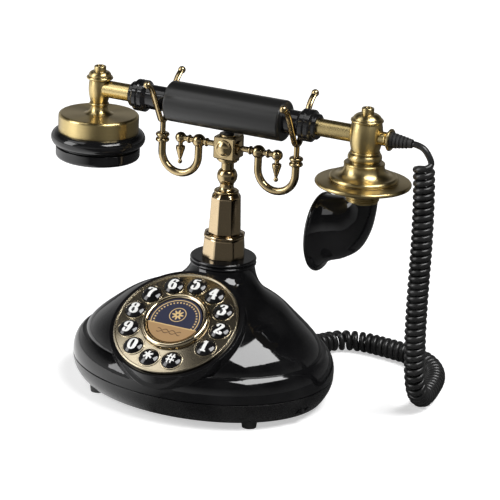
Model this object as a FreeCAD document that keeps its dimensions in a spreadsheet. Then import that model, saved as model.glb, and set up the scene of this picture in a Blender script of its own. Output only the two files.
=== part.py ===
import FreeCAD, Part
import math
import os
from types import SimpleNamespace

import Sketcher
from FreeCAD import Placement, Rotation, Vector

# A cradle telephone with a push-button dial, in millimetres.
# +Z is up, the dial faces -Y and the handset lies along X. The origin is on the table,
# under the middle of the telephone without its cord.

# A size that starts with an equals sign follows the sizes that it names.
SIZES = {
    # stance and base outline
    "base_y": 2.7,
    "base_half_width": 91.5,
    "base_half_depth": 75.0,
    "foot_height": 5.0,
    "foot_radius": 5.4,
    "foot_taper": 0.6,
    "foot_x": "=base_half_width - 34.5",
    "foot_y": "=base_half_depth - 32.5",
    # pan
    "seam_height": 20.0,
    "seam_reveal": 0.8,
    "seam_wall": 3.2,
    "pan_inset_x": 6.0,
    "pan_inset_y": 8.5,
    "case_wall": 2.6,
    "case_floor": 2.5,
    "tongue_height": 2.5,
    "tongue_gap": 0.3,
    # shell
    "skirt_top": 36.5,
    "skirt_roll": 6.0,
    "body_foot": 31.0,
    "body_inset": 8.0,
    "neck_height": 84.6,
    "neck_radius": 21.4,
    "neck_underside": "=neck_height - 6.6",
    "collar_radius": 22.1,
    "collar_top": "=neck_height + 4.3",
    "collar_step": 0.8,
    "bead_height": 1.3,
    # screws and bosses
    "boss_x": "=base_half_width - 29.5",
    "boss_y": "=base_half_depth - 47",
    "boss_radius": 4.6,
    "screw_radius": 1.5,
    "screw_length": 22.0,
    "screw_head_radius": 3.2,
    "screw_head_height": 2.2,
    "screw_gap": 0.15,
    # inside the base
    "ballast_length": 78.0,
    "ballast_width": 44.0,
    "ballast_thick": 4.0,
    "board_length": 96.0,
    "board_width": 58.0,
    "board_thick": 1.6,
    "board_height": 16.0,
    "post_radius": 3.0,
    "post_inset": 4.0,
    "speaker_radius": 11.0,
    "speaker_height": 9.0,
    "speaker_y": "=base_half_depth - 27",
    "switch_width": 6.5,
    "switch_depth": 16.0,
    "switch_height": 9.0,
    "switch_x": 7.5,
    "lever_length": 14.0,
    "lever_width": 4.0,
    "lever_thick": 0.6,
    "lever_x": 3.7,
    "pivot_width": 1.2,
    "pivot_height": 3.0,
    "pivot_x": 10.0,
    # jacks and ringer slider
    "jack_width": 12.0,
    "jack_depth": 13.0,
    "jack_height": 9.0,
    "jack_sill": 8.0,
    "line_jack_x": -36.0,
    "cord_jack_x": 36.0,
    "jack_y": "=base_half_depth - 23",
    "socket_width": 9.6,
    "socket_height": 6.6,
    "socket_depth": 10.5,
    "plug_width": 7.6,
    "plug_height": 6.0,
    "plug_length": 18.0,
    "plug_gap": 0.2,
    "slider_x": "=base_half_width - 6.9",
    "slider_y": -21.0,
    "slider_height": 10.2,
    "slider_length": 4.5,
    "slider_tall": 3.0,
    "slider_reach": 10.2,
    "slider_proud": 1.0,
    "slider_slot": 9.5,
    "slider_gap": 0.3,
    "slider_flange": 2.0,
    # dial
    "dial_y": -39.7,
    "dial_height": 61.0,
    "dial_tilt": 32.3,
    "dial_radius": "=key_circle + key_flange + 2.7",
    "dial_thick": 3.0,
    "dial_gap": 0.3,
    "dial_lip": 1.2,
    "dial_lip_height": 0.7,
    "dial_lip_slope": 0.5,
    "dial_bevel": 0.4,
    "cup_radius": "=dial_radius + 5.7",
    "cup_top_radius": "=dial_radius + 3.3",
    "cup_drop": 1.4,
    "cup_depth": 30.0,
    "cup_foot": 26.0,
    "cup_seat": "=dial_radius - 1.7",
    "cup_bore": "=dial_radius - 4.8",
    "seat_inset": 1.0,
    "seat_floor": 3.0,
    "key_circle": "=key_flange / 0.2375",
    "key_radius": 6.5,
    "key_gap": 0.35,
    "key_edge": 1.0,
    "key_crown": 2.2,
    "key_flange": "=key_radius + 1.1",
    "key_flange_thick": 1.2,
    "key_stem": 4.2,
    "key_travel": 1.6,
    "key_eyelet": 0.7,
    "key_eyelet_height": 0.5,
    "mat_thick": 1.0,
    "mat_pad": 0.4,
    "mat_space": 0.2,
    "keypad_thick": 1.6,
    "ring_outer": 21.4,
    "ring_inner": 18.6,
    "ring_height": 3.2,
    "label_radius": "=ring_inner - 0.4",
    "label_thick": 2.6,
    # column
    "column_y": 27.2,
    "socket_foot": 15.4,
    "socket_head": 14.2,
    "socket_top": "=collar_top + 14.9",
    "ledge_top": "=socket_top + 1.6",
    "ledge_reach": 0.7,
    "ledge_slope": 0.6,
    "shaft_foot": 11.6,
    "shaft_head": 10.4,
    "shaft_top": "=ledge_top + 27.2",
    "shaft_shoulder": 1.0,
    "shoulder_radius": 9.2,
    "rod_bore": 2.8,
    "ball_height": "=shaft_top + 12.5",
    "ball_radius": 6.9,
    "finial_ring": 8.4,
    "finial_ring_height": 1.8,
    "finial_waist": 4.9,
    "finial_step": 1.2,
    "finial_neck": 4.3,
    "finial_flange": 7.6,
    # cradle block and hook plunger
    "block_side": 15.6,
    "block_height": "=ball_height + 20.6",
    "block_chamfer": 0.9,
    "block_cap": 6.4,
    "block_cap_height": 1.0,
    "rosette_radius": 5.8,
    "rosette_rise": 2.8,
    "stud_radius": 3.3,
    "stud_bore": "=stud_radius + 0.35",
    "stud_length": 9.0,
    "stud_gap": 0.3,
    "stud_bevel": 0.8,
    "rod_radius": 1.8,
    "rod_foot": "=neck_underside - 11",
    "plunger_travel": 4.0,
    # cradle arms, hooks and forks
    "arm_flange": 5.0,
    "arm_rod": 2.0,
    "inner_ball": 4.6,
    "outer_ball": 3.8,
    "arm_bead": 2.2,
    "arm_bead_rise": 1.0,
    "inner_ball_x": 22.3,
    "outer_ball_x": 36.0,
    "pendant_top": 3.2,
    "pendant_tip": "=block_height - 18.5",
    "pendant_neck": 3.0,
    "pendant_ball": 1.6,
    "hook_radius": 13.8,
    "hook_tube": 2.6,
    "hook_height": "=block_height - 11.1",
    "hook_end": "=block_height - 5.1",
    "fork_collar": 4.7,
    "fork_collar_height": 6.4,
    "fork_groove": 0.8,
    "fork_neck": 1.9,
    "fork_width": 4.4,
    "fork_thick": 2.6,
    "fork_root": 5.0,
    "fork_tip": 2.6,
    "fork_gap": 0.4,
    "fork_lean": 30.0,
    "prong_length": 23.0,
    "prong_curl": 18.0,
    "prong_turn": 38.0,
    # handset
    "handset_height": "=block_height + block_side / 2 + block_cap_height + grip_space + grip_radius",
    "ear_x": -99.6,
    "mouth_x": 98.6,
    "grip_left": -44.6,
    "grip_right": 41.0,
    "grip_radius": 13.75,
    "grip_space": 1.75,
    "grip_round": 1.6,
    "tube_radius": 5.9,
    "tube_gap": 0.06,
    "ferrule_neck": 8.3,
    "left_neck": 17.4,
    "right_neck": 12.2,
    "ferrule_ring": 10.8,
    "ferrule_ring_length": 8.4,
    "ferrule_groove": 0.8,
    "ferrule_end": 8.6,
    "ferrule_end_length": 3.6,
    # ear end
    "ear_finial_foot": "=handset_height + 6.3",
    "mouth_finial_foot": "=handset_height + 9.4",
    "ear_top": "=ear_finial_foot + 9.1",
    "mouth_top": "=mouth_finial_foot + 9.4",
    "nub_radius": 4.1,
    "nub_dish": 0.8,
    "brim_height": 2.0,
    "brim_step": 1.4,
    "tier_height": 5.4,
    "ear_brim": 9.1,
    "mouth_brim": 10.8,
    "barrel_foot": "=handset_height - 10",
    "ear_waist": 5.8,
    "ear_belly": 7.5,
    "ear_shoulder": 6.9,
    "mouth_waist": 9.2,
    "mouth_belly": 10.9,
    "mouth_shoulder": 9.8,
    "ear_bead": 6.8,
    "ear_bead_height": 2.0,
    "flare_radius": 10.2,
    "drum_radius": 27.6,
    "drum_top": "=handset_height - 18",
    "drum_foot": "=drum_top - 12",
    "drum_wall": 1.8,
    "drum_round": 2.0,
    "ear_ring": "=drum_radius + 4.7",
    "ear_ring_height": 10.0,
    "ear_groove": 1.4,
    "ear_cap_round": 2.4,
    "ear_dish": 3.0,
    "ear_cap": "=drum_radius + 1.3",
    "ear_cap_foot": "=drum_foot - 19",
    "ear_cap_floor": 5.5,
    "ear_hole": 1.3,
    "ear_hole_circle": 9.0,
    "capsule_radius": "=drum_radius - 3",
    "capsule_gap": 0.4,
    "capsule_height": 8.0,
    # mouth end
    "mouth_ring": 11.3,
    "bell_top": 13.4,
    "bell_foot": 19.4,
    "step_radius": 22.6,
    "flange_radius": 31.8,
    "flange_height": "=handset_height - 30.4",
    "flange_thick": 2.8,
    "flange_crown": 0.6,
    "step_height": 3.2,
    "bell_height": 7.4,
    "bell_roll": 1.4,
    "thread_radius": 11.8,
    "thread_bore": 7.0,
    "thread_foot": "=flange_height - 9.1",
    "horn_wall": 2.0,
    "horn_throat": 10.5,
    "horn_belly": 19.2,
    "horn_mouth": 24.2,
    "horn_lip": 1.3,
    "horn_bend": 30.0,
    "horn_lead": 2.5,
    "horn_turn": 89.0,
    "mic_radius": 7.9,
    "mic_height": 6.5,
    # cord outlet and cord
    "nipple_radius": 4.6,
    "nipple_lip": 7.3,
    "nipple_lip_thick": 1.8,
    "nipple_end": "=mouth_x + 17.9",
    "nipple_flare": 2.4,
    "nipple_edge": 0.5,
    "relief_radius": 5.3,
    "relief_tip": 2.9,
    "relief_length": 14.5,
    "relief_groove": 1.0,
    "cord_wire": 3.8,
    "cord_outer": 14.4,
    "cord_pitch": 4.6,
    "cord_gap": 0.1,
}

# How far a cutter passes the face that it leaves, and how many walls thick the slot's cutter is.
CLEAR = 1.0
CUTTER_WALLS = 6

# Shares of a piece's own size: the magnet of the speaker, the straight side of the dial's ring, places
# on a key's dome, on a rosette, on the ear cap's dish, on the receiver and on a rib of the strain relief.
MAGNET_SHARE = 0.55
RING_SIDE = 0.4
KEY_DOME = (0.72, 0.62)
ROSETTE_SIDE = 0.3
ROSETTE_GROOVE = (0.8, 0.42)
ROSETTE_DOME = (0.5, 0.85)
GRIP_CORNER = 0.3
DISH_RIM = 0.72
DISH_MIDDLE = (0.4, 0.7)
CAPSULE_SIDE = 0.6
CAPSULE_TOP = 0.5
NIPPLE_CURVE = (0.8, 0.9)
RIB_TOP = 0.55
GROOVE_START = 0.65
GROOVE_END = 0.9

# The horn's lip stands this share of its roundness inside the mouth, and the bore passes the mouth by
# this share of the bend. The cord leaves its plug straight for this many wire diameters.
LIP_SEAT = 0.6
MOUTH_PASS = 0.03
PLUG_LEAD = 1.2

RELIEF_RIBS = 5
KEY_COUNT = 12
KEY_STEP = 28.8
FIRST_KEY = -27
EAR_HOLES = 6
COLUMN_SIDES = 8
COLLAR_BEADS = 2
FERRULE_RIBS = 2
CURL_SAMPLES = 16
ROUTE_SAMPLES = 20000
LEAST_CURL_GAP = 0.4

# A ball runs into its rod this many degrees from its equator, and a quarter round passes this share of
# its radius from the corner that it softens.
BALL_EDGE = 55
BALL_REACH = math.sin(math.radians(BALL_EDGE))
BALL_NECK = math.cos(math.radians(BALL_EDGE))
CORNER = 1 - math.sqrt(0.5)

# Keys in turn from the lower right of the dial, anticlockwise, with a wider space after the last.
KEY_NAMES = ["1", "2", "3", "4", "5", "6", "7", "8", "9", "0", "star", "hash"]

# Axis of the curly cord, from under the mouth end down to the table and round to the base's back.
CORD_ROUTE = [
    (139.0, 27.2, 180.0),
    (141.5, 27.2, 160.0),
    (142.6, 27.2, 125.0),
    (142.3, 27.2, 90.0),
    (142.6, 27.6, 58.0),
    (143.5, 31.0, 24.0),
    (142.5, 48.0, 7.6),
    (140.5, 68.0, 7.6),
    (136.0, 92.0, 7.6),
    (124.0, 111.0, 7.6),
    (106.0, 121.0, 7.6),
    (84.0, 124.5, 7.6),
    (64.0, 126.0, 7.6),
    (49.0, 119.5, 7.6),
    (42.0, 106.0, 7.6),
    (38.5, 95.0, 9.0),
]

# Where the plain lead turns down into the first curl, from the strain relief's end, and its direction.
CORD_SHOULDER = (17.0, 1.0, -5.0)
CORD_DROP = (0.1, -0.4, -0.9)

doc = FreeCAD.newDocument("cradle_phone")
sheet = doc.addObject("Spreadsheet::Sheet", "sizes")
for row, (alias, value) in enumerate(SIZES.items(), start=1):
    sheet.set(f"A{row}", alias)
    sheet.setAlias(f"B{row}", alias)
for alias, value in SIZES.items():
    sheet.set(sheet.getCellFromAlias(alias), str(value))
doc.recompute()


class Size:
    """A number with the sheet formula that it comes from, so that a property can follow the sheet."""

    def __init__(self, value, text):
        self.value = value
        self.text = text

    def __add__(self, other):
        return Size(self.value + number(other), f"({self.text} + {formula(other)})")

    def __radd__(self, other):
        return Size(number(other) + self.value, f"({formula(other)} + {self.text})")

    def __sub__(self, other):
        return Size(self.value - number(other), f"({self.text} - {formula(other)})")

    def __rsub__(self, other):
        return Size(number(other) - self.value, f"({formula(other)} - {self.text})")

    def __mul__(self, other):
        return Size(self.value * number(other), f"({self.text} * {formula(other)})")

    def __rmul__(self, other):
        return self * other

    def __truediv__(self, other):
        return Size(self.value / number(other), f"({self.text} / {formula(other)})")

    def __neg__(self):
        return Size(-self.value, f"(-1 * {self.text})")


def number(size):
    return size.value if isinstance(size, Size) else float(size)


def formula(size):
    return size.text if isinstance(size, Size) else f"({float(size)})"


def cosine(angle):
    return Size(math.cos(math.radians(number(angle))), f"cos({formula(angle)} * 1deg)")


def sine(angle):
    return Size(math.sin(math.radians(number(angle))), f"sin({formula(angle)} * 1deg)")


d = SimpleNamespace(**{name: Size(float(sheet.get(name)), f"sizes.{name}") for name in SIZES})
parts = {}


def keep(label, item):
    """Names a finished sub-part."""
    item.Label = label
    parts[label] = item
    return item


def bind(item, name, size):
    item.setExpression(name, formula(size))


def place(item, x=0, y=0, z=0, turn=None):
    item.Placement = Placement(Vector(number(x), number(y), number(z)), turn or Rotation())
    bind(item, "Placement.Base.x", x)
    bind(item, "Placement.Base.y", y)
    bind(item, "Placement.Base.z", z)
    return item


def add(kind, name, **sizes):
    item = doc.addObject(kind, name)
    for key, size in sizes.items():
        bind(item, key, size)
    return item


def cylinder(name, radius, height, x=0, y=0, z=0, turn=None):
    return place(add("Part::Cylinder", name, Radius=radius, Height=height), x, y, z, turn)


def box(name, length, width, height, x=0, y=0, z=0):
    """A box centred on x and y that stands on z."""
    item = add("Part::Box", name, Length=length, Width=width, Height=height)
    return place(item, x - length / 2, y - width / 2, z)


def fuse(name, shapes):
    item = doc.addObject("Part::MultiFuse", name)
    item.Shapes = list(shapes)
    item.Refine = False
    return item


def cut(name, base, tool):
    item = doc.addObject("Part::Cut", name)
    item.Base = base
    item.Tool = tool
    item.Refine = False
    return item


def group(name, shapes):
    item = doc.addObject("Part::Compound", name)
    item.Links = list(shapes)
    return item


def loft(name, sections):
    item = doc.addObject("Part::Loft", name)
    item.Sections = list(sections)
    item.Solid = True
    item.Ruled = False
    return item


def oval(name, half_x, half_y, y, z):
    return place(add("Part::Ellipse", name, MajorRadius=half_x, MinorRadius=half_y), 0, y, z)


def origin_plane(body, role):
    return next(item for item in body.Origin.OriginFeatures if item.Role == role)


def new_sketch(body, name, role, height=0):
    sketch = body.newObject("Sketcher::SketchObject", name)
    sketch.AttachmentSupport = [(origin_plane(body, role), "")]
    sketch.MapMode = "FlatFace"
    sketch.AttachmentOffset = Placement(Vector(0, 0, number(height)), Rotation())
    bind(sketch, "AttachmentOffset.Base.z", height)
    return sketch


def fix_point(sketch, edge, end, x, y):
    """Holds one point of a sketch at x, y from the sketch's origin."""
    for kind, size, axis in (("DistanceX", x, -2), ("DistanceY", y, -1)):
        if size == 0:
            sketch.addConstraint(Sketcher.Constraint("PointOnObject", edge, end, axis))
            continue
        index = sketch.addConstraint(Sketcher.Constraint(kind, -1, 1, edge, end, number(size)))
        sketch.setExpression(f"Constraints[{index}]", formula(size))


def draw_outline(sketch, outline):
    """Draws a closed outline. An entry (x, y) is a straight edge to that point from the one before,
    and (x, y, middle_x, middle_y) is an arc to it through the middle point. An arc that meets
    the axis is centred on it, so it turns into a dome."""
    corners = [Vector(number(entry[0]), number(entry[1]), 0) for entry in outline]
    starts = []
    ends = []
    for i, entry in enumerate(outline):
        if len(entry) == 2:
            edge = sketch.addGeometry(Part.LineSegment(corners[i - 1], corners[i]))
        else:
            middle = Vector(number(entry[2]), number(entry[3]), 0)
            edge = sketch.addGeometry(Part.Arc(corners[i - 1], middle, corners[i]))
        forward = sketch.getPoint(edge, 2).distanceToPoint(corners[i]) < 1e-6
        starts.append((edge, 1 if forward else 2))
        ends.append((edge, 2 if forward else 1))
    for i, entry in enumerate(outline):
        follower = starts[(i + 1) % len(outline)]
        sketch.addConstraint(Sketcher.Constraint("Coincident", *ends[i], *follower))
        fix_point(sketch, *ends[i], entry[0], entry[1])
        if len(entry) != 4:
            continue
        if 0 in (entry[0], outline[i - 1][0]):
            sketch.addConstraint(Sketcher.Constraint("PointOnObject", ends[i][0], 3, -2))
        else:
            middle = Vector(number(entry[2]), number(entry[3]), 0)
            dot = sketch.addGeometry(Part.Point(middle), True)
            fix_point(sketch, dot, 1, entry[2], entry[3])
            sketch.addConstraint(Sketcher.Constraint("PointOnObject", dot, 1, ends[i][0]))


def turned(label, outline, x=0, y=0, z=0, turn=None):
    """A body turned about its own Z axis from an outline of radius and height."""
    body = doc.addObject("PartDesign::Body", label)
    sketch = new_sketch(body, f"{label}_outline", "XZ_Plane")
    draw_outline(sketch, outline)
    spin = body.newObject("PartDesign::Revolution", f"{label}_spin")
    spin.Profile = sketch
    spin.ReferenceAxis = (sketch, ["V_Axis"])
    spin.Angle = 360
    return place(body, x, y, z, turn)


def circle_sketch(body, name, circles, height=0):
    """A sketch on the body's XY plane with circles given as (radius, x, y)."""
    sketch = new_sketch(body, name, "XY_Plane", height)
    for radius, x, y in circles:
        centre = Vector(number(x), number(y), 0)
        edge = sketch.addGeometry(Part.Circle(centre, Vector(0, 0, 1), number(radius)))
        fix_point(sketch, edge, 3, x, y)
        index = sketch.addConstraint(Sketcher.Constraint("Radius", edge, number(radius)))
        sketch.setExpression(f"Constraints[{index}]", formula(radius))
    return sketch


def repeat_round(body, name, originals, count, step):
    """Repeats features round the body's Z axis, one step in degrees from each to the next."""
    pattern = body.newObject("PartDesign::PolarPattern", name)
    pattern.Originals = originals
    pattern.Axis = (origin_plane(body, "Z_Axis"), [""])
    pattern.Mode = "Spacing"
    pattern.Offset = step
    pattern.Occurrences = count
    body.Tip = pattern
    return pattern


def on_circle(radius, angle):
    """A point at an angle in degrees on a circle about the origin."""
    return radius * math.cos(math.radians(angle)), radius * math.sin(math.radians(angle))


def dial_spot(along, up, out):
    """The place on the tilted dial that is along X, up the slope and out of its face."""
    y = d.dial_y + up * cosine(d.dial_tilt) - out * sine(d.dial_tilt)
    z = d.dial_height + up * sine(d.dial_tilt) + out * cosine(d.dial_tilt)
    return along, y, z


def on_dial(item, out, along=0, up=0):
    """Places an item on the dial, with its own Z axis along the dial's."""
    tilt = Rotation(Vector(1, 0, 0), number(d.dial_tilt))
    place(item, *dial_spot(along, up * Size(1, "1"), out * Size(1, "1")), tilt)
    bind(item, "Placement.Rotation.Angle", d.dial_tilt)
    return item


# Base pan: an oval tray whose side rolls in towards the feet.
def pan_oval(name, share, inset, z):
    draw_in = (1 - share) ** 2
    half_x = d.base_half_width - d.pan_inset_x * draw_in - inset
    half_y = d.base_half_depth - d.pan_inset_y * draw_in - inset
    return oval(name, half_x, half_y, d.base_y, z)


def seam_ring(name, inset, foot, top):
    half_x = d.base_half_width - inset
    half_y = d.base_half_depth - inset
    return loft(name, [oval(f"{name}_{i}", half_x, half_y, d.base_y, z) for i, z in enumerate((foot, top))])


PAN_SHARES = (0, 0.25, 0.6, 1)


def pan_loft(name, inset, lift):
    rise = d.seam_height - d.foot_height
    sections = [
        pan_oval(f"{name}_{i}", share, inset, d.foot_height + lift + rise * share)
        for i, share in enumerate(PAN_SHARES)
    ]
    return loft(name, sections)


def four_places(x, y):
    return [(x * sx, d.base_y + y * sy) for sx in (-1, 1) for sy in (-1, 1)]


def make_pan():
    hollow = pan_loft("pan_hollow", d.case_wall, d.case_floor)
    tray = cut("pan_tray", pan_loft("pan_outside", 0 * d.case_wall, 0 * d.case_floor), hollow)
    lip_inset = d.seam_wall + d.tongue_gap
    lip_foot = d.seam_height - 2 * d.tongue_height
    lip_top = d.seam_height + d.tongue_height
    tongue = seam_ring("pan_tongue", lip_inset, lip_foot, lip_top)
    shelf = seam_ring("pan_shelf", d.case_wall / 2, lip_foot, d.seam_height - d.tongue_height / 2)
    lip_bore = seam_ring("pan_lip_bore", lip_inset + d.case_wall / 2, lip_foot, lip_top)
    lip = cut("pan_lip", fuse("pan_lip_solid", [tongue, shelf]), lip_bore)
    inside = d.foot_height + d.case_floor
    solids = [tray, lip]
    tools = []
    for i, (x, y) in enumerate(four_places(d.boss_x, d.boss_y)):
        boss_rise = d.seam_height - d.foot_height
        solids.append(cylinder(f"pan_boss_{i}", d.boss_radius, boss_rise, x, y, d.foot_height))
        well = d.screw_head_radius + d.screw_gap
        tools.append(cylinder(f"pan_well_{i}", well, d.screw_head_height, x, y, d.foot_height))
        tools.append(cylinder(f"pan_hole_{i}", d.screw_radius + d.screw_gap, boss_rise, x, y, d.foot_height))
    post_x = d.board_length / 2 - d.post_inset
    post_y = d.board_width / 2 - d.post_inset
    for i, (x, y) in enumerate(four_places(post_x, post_y)):
        solids.append(cylinder(f"pan_post_{i}", d.post_radius, d.board_height - inside, x, y, inside))
    for side, x in (("line", d.line_jack_x), ("cord", d.cord_jack_x)):
        z = d.jack_sill - d.tongue_gap / 2
        height = d.jack_height + d.tongue_gap
        tools.append(box(f"pan_{side}_cutout", d.jack_width + d.tongue_gap, d.base_half_depth, height,
                         x, d.base_y + d.jack_y + d.base_half_depth / 2, z))
    slot_height = d.slider_tall + 2 * d.slider_gap
    tools.append(box("pan_slot", d.case_wall * CUTTER_WALLS, d.slider_slot, slot_height,
                     d.slider_x, d.base_y + d.slider_y, d.slider_height - slot_height / 2))
    return keep("base_pan", cut("base_pan", fuse("pan_solid", solids), fuse("pan_tools", tools)))


# Upper shell: a rolled skirt, a bell-shaped body drawn back to the neck, and the dial's cup.
BODY_ROWS = ((0, 1), (0.14, 0.985), (0.44, 0.73), (0.6, 0.535), (0.71, 0.24), (0.84, 0.06), (1, 0))
BODY_SWEEP = 2.5
SKIRT_SHARES = (0, 0.4, 0.75, 1)


def skirt_loft(name, inset, lift):
    foot = d.seam_height + d.seam_reveal
    sections = []
    for i, share in enumerate(SKIRT_SHARES):
        roll = d.skirt_roll * share**3 + inset
        z = foot + (d.skirt_top - lift - foot) * share
        sections.append(oval(f"{name}_{i}", d.base_half_width - roll, d.base_half_depth - roll, d.base_y, z))
    return loft(name, sections)


def body_loft(name, inset, lift):
    sections = []
    for i, (rise, spread) in enumerate(BODY_ROWS):
        half_x = d.neck_radius + (d.base_half_width - d.body_inset - d.neck_radius) * spread - inset
        half_y = d.neck_radius + (d.base_half_depth - d.body_inset - d.neck_radius) * spread - inset
        y = d.base_y + (d.column_y - d.base_y) * max(0, 1 - spread) ** BODY_SWEEP
        z = d.body_foot + (d.neck_height - lift - d.body_foot) * rise
        sections.append(oval(f"{name}_{i}", half_x, half_y, y, z))
    return loft(name, sections)


def make_collar():
    """Two beads under a flat rim, with a spigot that reaches down into the neck."""
    waist = d.neck_radius - d.collar_step
    spigot = waist - d.case_wall
    outline = [
        (0, d.neck_underside),
        (spigot, d.neck_underside),
        (spigot, d.neck_height),
        (waist, d.neck_height),
    ]
    for i in range(COLLAR_BEADS):
        foot = d.neck_height + d.bead_height * i
        outline.append((waist, foot + d.bead_height, d.neck_radius, foot + d.bead_height / 2))
    rim_foot = d.neck_height + d.bead_height * COLLAR_BEADS
    outline += [
        (d.collar_radius, rim_foot),
        (d.collar_radius, d.collar_top - d.collar_step / 2),
        (d.collar_radius - d.collar_step / 2, d.collar_top),
        (0, d.collar_top),
    ]
    return turned("shell_collar", outline, 0, d.column_y, 0)


def make_shell():
    none = 0 * d.case_wall
    cup = add("Part::Cone", "shell_cup", Radius1=d.cup_radius, Radius2=d.cup_top_radius, Height=d.cup_depth)
    on_dial(cup, -d.cup_drop - d.cup_depth)
    room = box("shell_cup_room", 2 * d.base_half_width, 2 * d.base_half_depth, d.collar_top,
               0, d.base_y, d.cup_foot)
    chin = doc.addObject("Part::Common", "shell_chin")
    chin.Base = cup
    chin.Tool = room
    reveal_top = d.seam_height + d.seam_reveal
    outside = fuse("shell_outside", [
        skirt_loft("shell_skirt", none, none),
        body_loft("shell_body", none, none),
        seam_ring("shell_reveal", d.seam_reveal, d.seam_height, reveal_top + CLEAR),
        make_collar(),
        chin,
    ])
    hollow = fuse("shell_hollow", [
        skirt_loft("shell_skirt_in", d.case_wall, d.case_wall * 2),
        body_loft("shell_body_in", d.case_wall, d.neck_height - d.neck_underside),
        seam_ring("shell_seam_in", d.seam_wall, d.seam_height - CLEAR, d.seam_height + d.tongue_height * 2),
    ])
    seat_depth = d.dial_thick + key_stack()
    seat_height = seat_depth + d.seat_floor
    seat = add("Part::Cylinder", "shell_seat", Radius=d.cup_top_radius - d.seat_inset, Height=seat_height)
    on_dial(seat, -seat_height - d.cup_drop)
    bosses = []
    tools = []
    for i, (x, y) in enumerate(four_places(d.boss_x, d.boss_y)):
        post = cylinder(f"shell_post_{i}", d.boss_radius, d.neck_height, x, y, d.seam_height)
        boss = doc.addObject("Part::Common", f"shell_boss_{i}")
        boss.Base = post
        boss.Tool = outside
        bosses.append(boss)
        depth = d.screw_length - (d.seam_height - d.foot_height - d.screw_head_height) + CLEAR
        pilot = d.screw_radius + d.screw_gap / 3
        tools.append(cylinder(f"shell_hole_{i}", pilot, depth, x, y, d.seam_height))
    rise = d.cup_drop + d.dial_thick
    tools += [
        on_dial(add("Part::Cylinder", "shell_recess",
                    Radius=d.dial_radius + d.dial_gap, Height=rise + 4 * CLEAR),
                -d.dial_thick),
        on_dial(add("Part::Cylinder", "shell_seat_bore", Radius=d.cup_seat, Height=seat_depth), -seat_depth),
        on_dial(add("Part::Cylinder", "shell_bore", Radius=d.cup_bore, Height=d.cup_depth),
                -d.cup_depth - CLEAR),
        cylinder("shell_rod_hole", d.rod_bore, d.neck_height, 0, d.column_y, d.neck_height / 2),
    ]
    solid = fuse("shell_solid", [cut("shell_walls", outside, hollow), seat, *bosses])
    return keep("upper_shell", cut("upper_shell", solid, fuse("shell_tools", tools)))


def make_feet_and_screws():
    feet = []
    screws = []
    for i, (x, y) in enumerate(four_places(d.foot_x, d.foot_y)):
        foot = add("Part::Cone", f"foot_{i}", Radius1=d.foot_radius - d.foot_taper, Radius2=d.foot_radius,
                   Height=d.foot_height)
        feet.append(place(foot, x, y, 0))
    keep("rubber_feet", group("rubber_feet", feet))
    for i, (x, y) in enumerate(four_places(d.boss_x, d.boss_y)):
        head = [
            (0, 0),
            (d.screw_head_radius, 0),
            (d.screw_head_radius, d.screw_head_height),
            (d.screw_radius, d.screw_head_height),
            (d.screw_radius, d.screw_length),
            (d.screw_radius / 3, d.screw_length + d.screw_radius),
            (0, d.screw_length + d.screw_radius),
        ]
        screws.append(turned(f"screw_{i}", head, x, y, d.foot_height))
    keep("case_screws", group("case_screws", screws))


def make_inside():
    inside = d.foot_height + d.case_floor
    keep("ballast_plate", box("ballast_plate", d.ballast_length, d.ballast_width, d.ballast_thick,
                              0, d.base_y, inside))
    keep("main_board", box("main_board", d.board_length, d.board_width, d.board_thick,
                           0, d.base_y, d.board_height))
    speaker = [
        (0, 0),
        (d.speaker_radius, 0),
        (d.speaker_radius, d.speaker_height / 3),
        (d.speaker_radius * MAGNET_SHARE, d.speaker_height / 2),
        (d.speaker_radius * MAGNET_SHARE, d.speaker_height),
        (0, d.speaker_height),
    ]
    keep("ringer_speaker", turned("ringer_speaker", speaker, 0, d.base_y + d.speaker_y, inside))
    lever_foot = d.rod_foot - d.stud_gap - d.lever_thick
    body = box("switch_body", d.switch_width, d.switch_depth, d.switch_height,
               d.switch_x, d.column_y, d.neck_underside - d.switch_height)
    lever = box("switch_lever", d.lever_length, d.lever_width, d.lever_thick,
                d.lever_x, d.column_y, lever_foot)
    pivot = box("switch_pivot", d.pivot_width, d.lever_width, d.pivot_height,
                d.pivot_x, d.column_y, lever_foot)
    keep("hook_switch", fuse("hook_switch", [body, lever, pivot]))


def make_jacks():
    y = d.base_y + d.jack_y + d.jack_depth / 2
    for label, x in (("line_jack", d.line_jack_x), ("handset_jack", d.cord_jack_x)):
        block = box(f"{label}_block", d.jack_width, d.jack_depth, d.jack_height, x, y, d.jack_sill)
        hole_y = y + d.jack_depth / 2 - d.socket_depth / 2
        hole_z = d.jack_sill + (d.jack_height - d.socket_height) / 2
        hole = box(f"{label}_hole", d.socket_width, d.socket_depth, d.socket_height, x, hole_y, hole_z)
        keep(label, cut(label, block, hole))
    plug_z = d.jack_sill + (d.jack_height - d.plug_height) / 2
    plug_y = d.base_y + d.jack_y + d.jack_depth - d.socket_depth + d.plug_gap + d.plug_length / 2
    plug = box("cord_plug", d.plug_width, d.plug_length, d.plug_height, d.cord_jack_x, plug_y, plug_z)
    keep("cord_plug", plug)


def make_slider():
    """A ringer switch: a knob through the slot and a plate that rides inside the pan's wall."""
    y = d.base_y + d.slider_y
    knob_foot = d.slider_height - d.slider_tall / 2
    flange = d.slider_flange
    plate_x = d.slider_x - d.slider_reach
    length = d.slider_reach + d.slider_proud
    knob = box("slider_knob", length, d.slider_length, d.slider_tall, plate_x + length / 2, y, knob_foot)
    plate = box("slider_plate", flange / 2, d.slider_length + 2 * flange, d.slider_tall + flange,
                plate_x - flange / 4, y, knob_foot - flange / 2)
    keep("ringer_slider", fuse("ringer_slider", [knob, plate]))


def key_stack():
    """Depth from the dial plate's underside to the keypad board's underside."""
    return (d.key_gap + d.key_flange_thick + d.key_travel + d.mat_space + d.mat_pad
            + d.mat_thick + d.keypad_thick)


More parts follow.
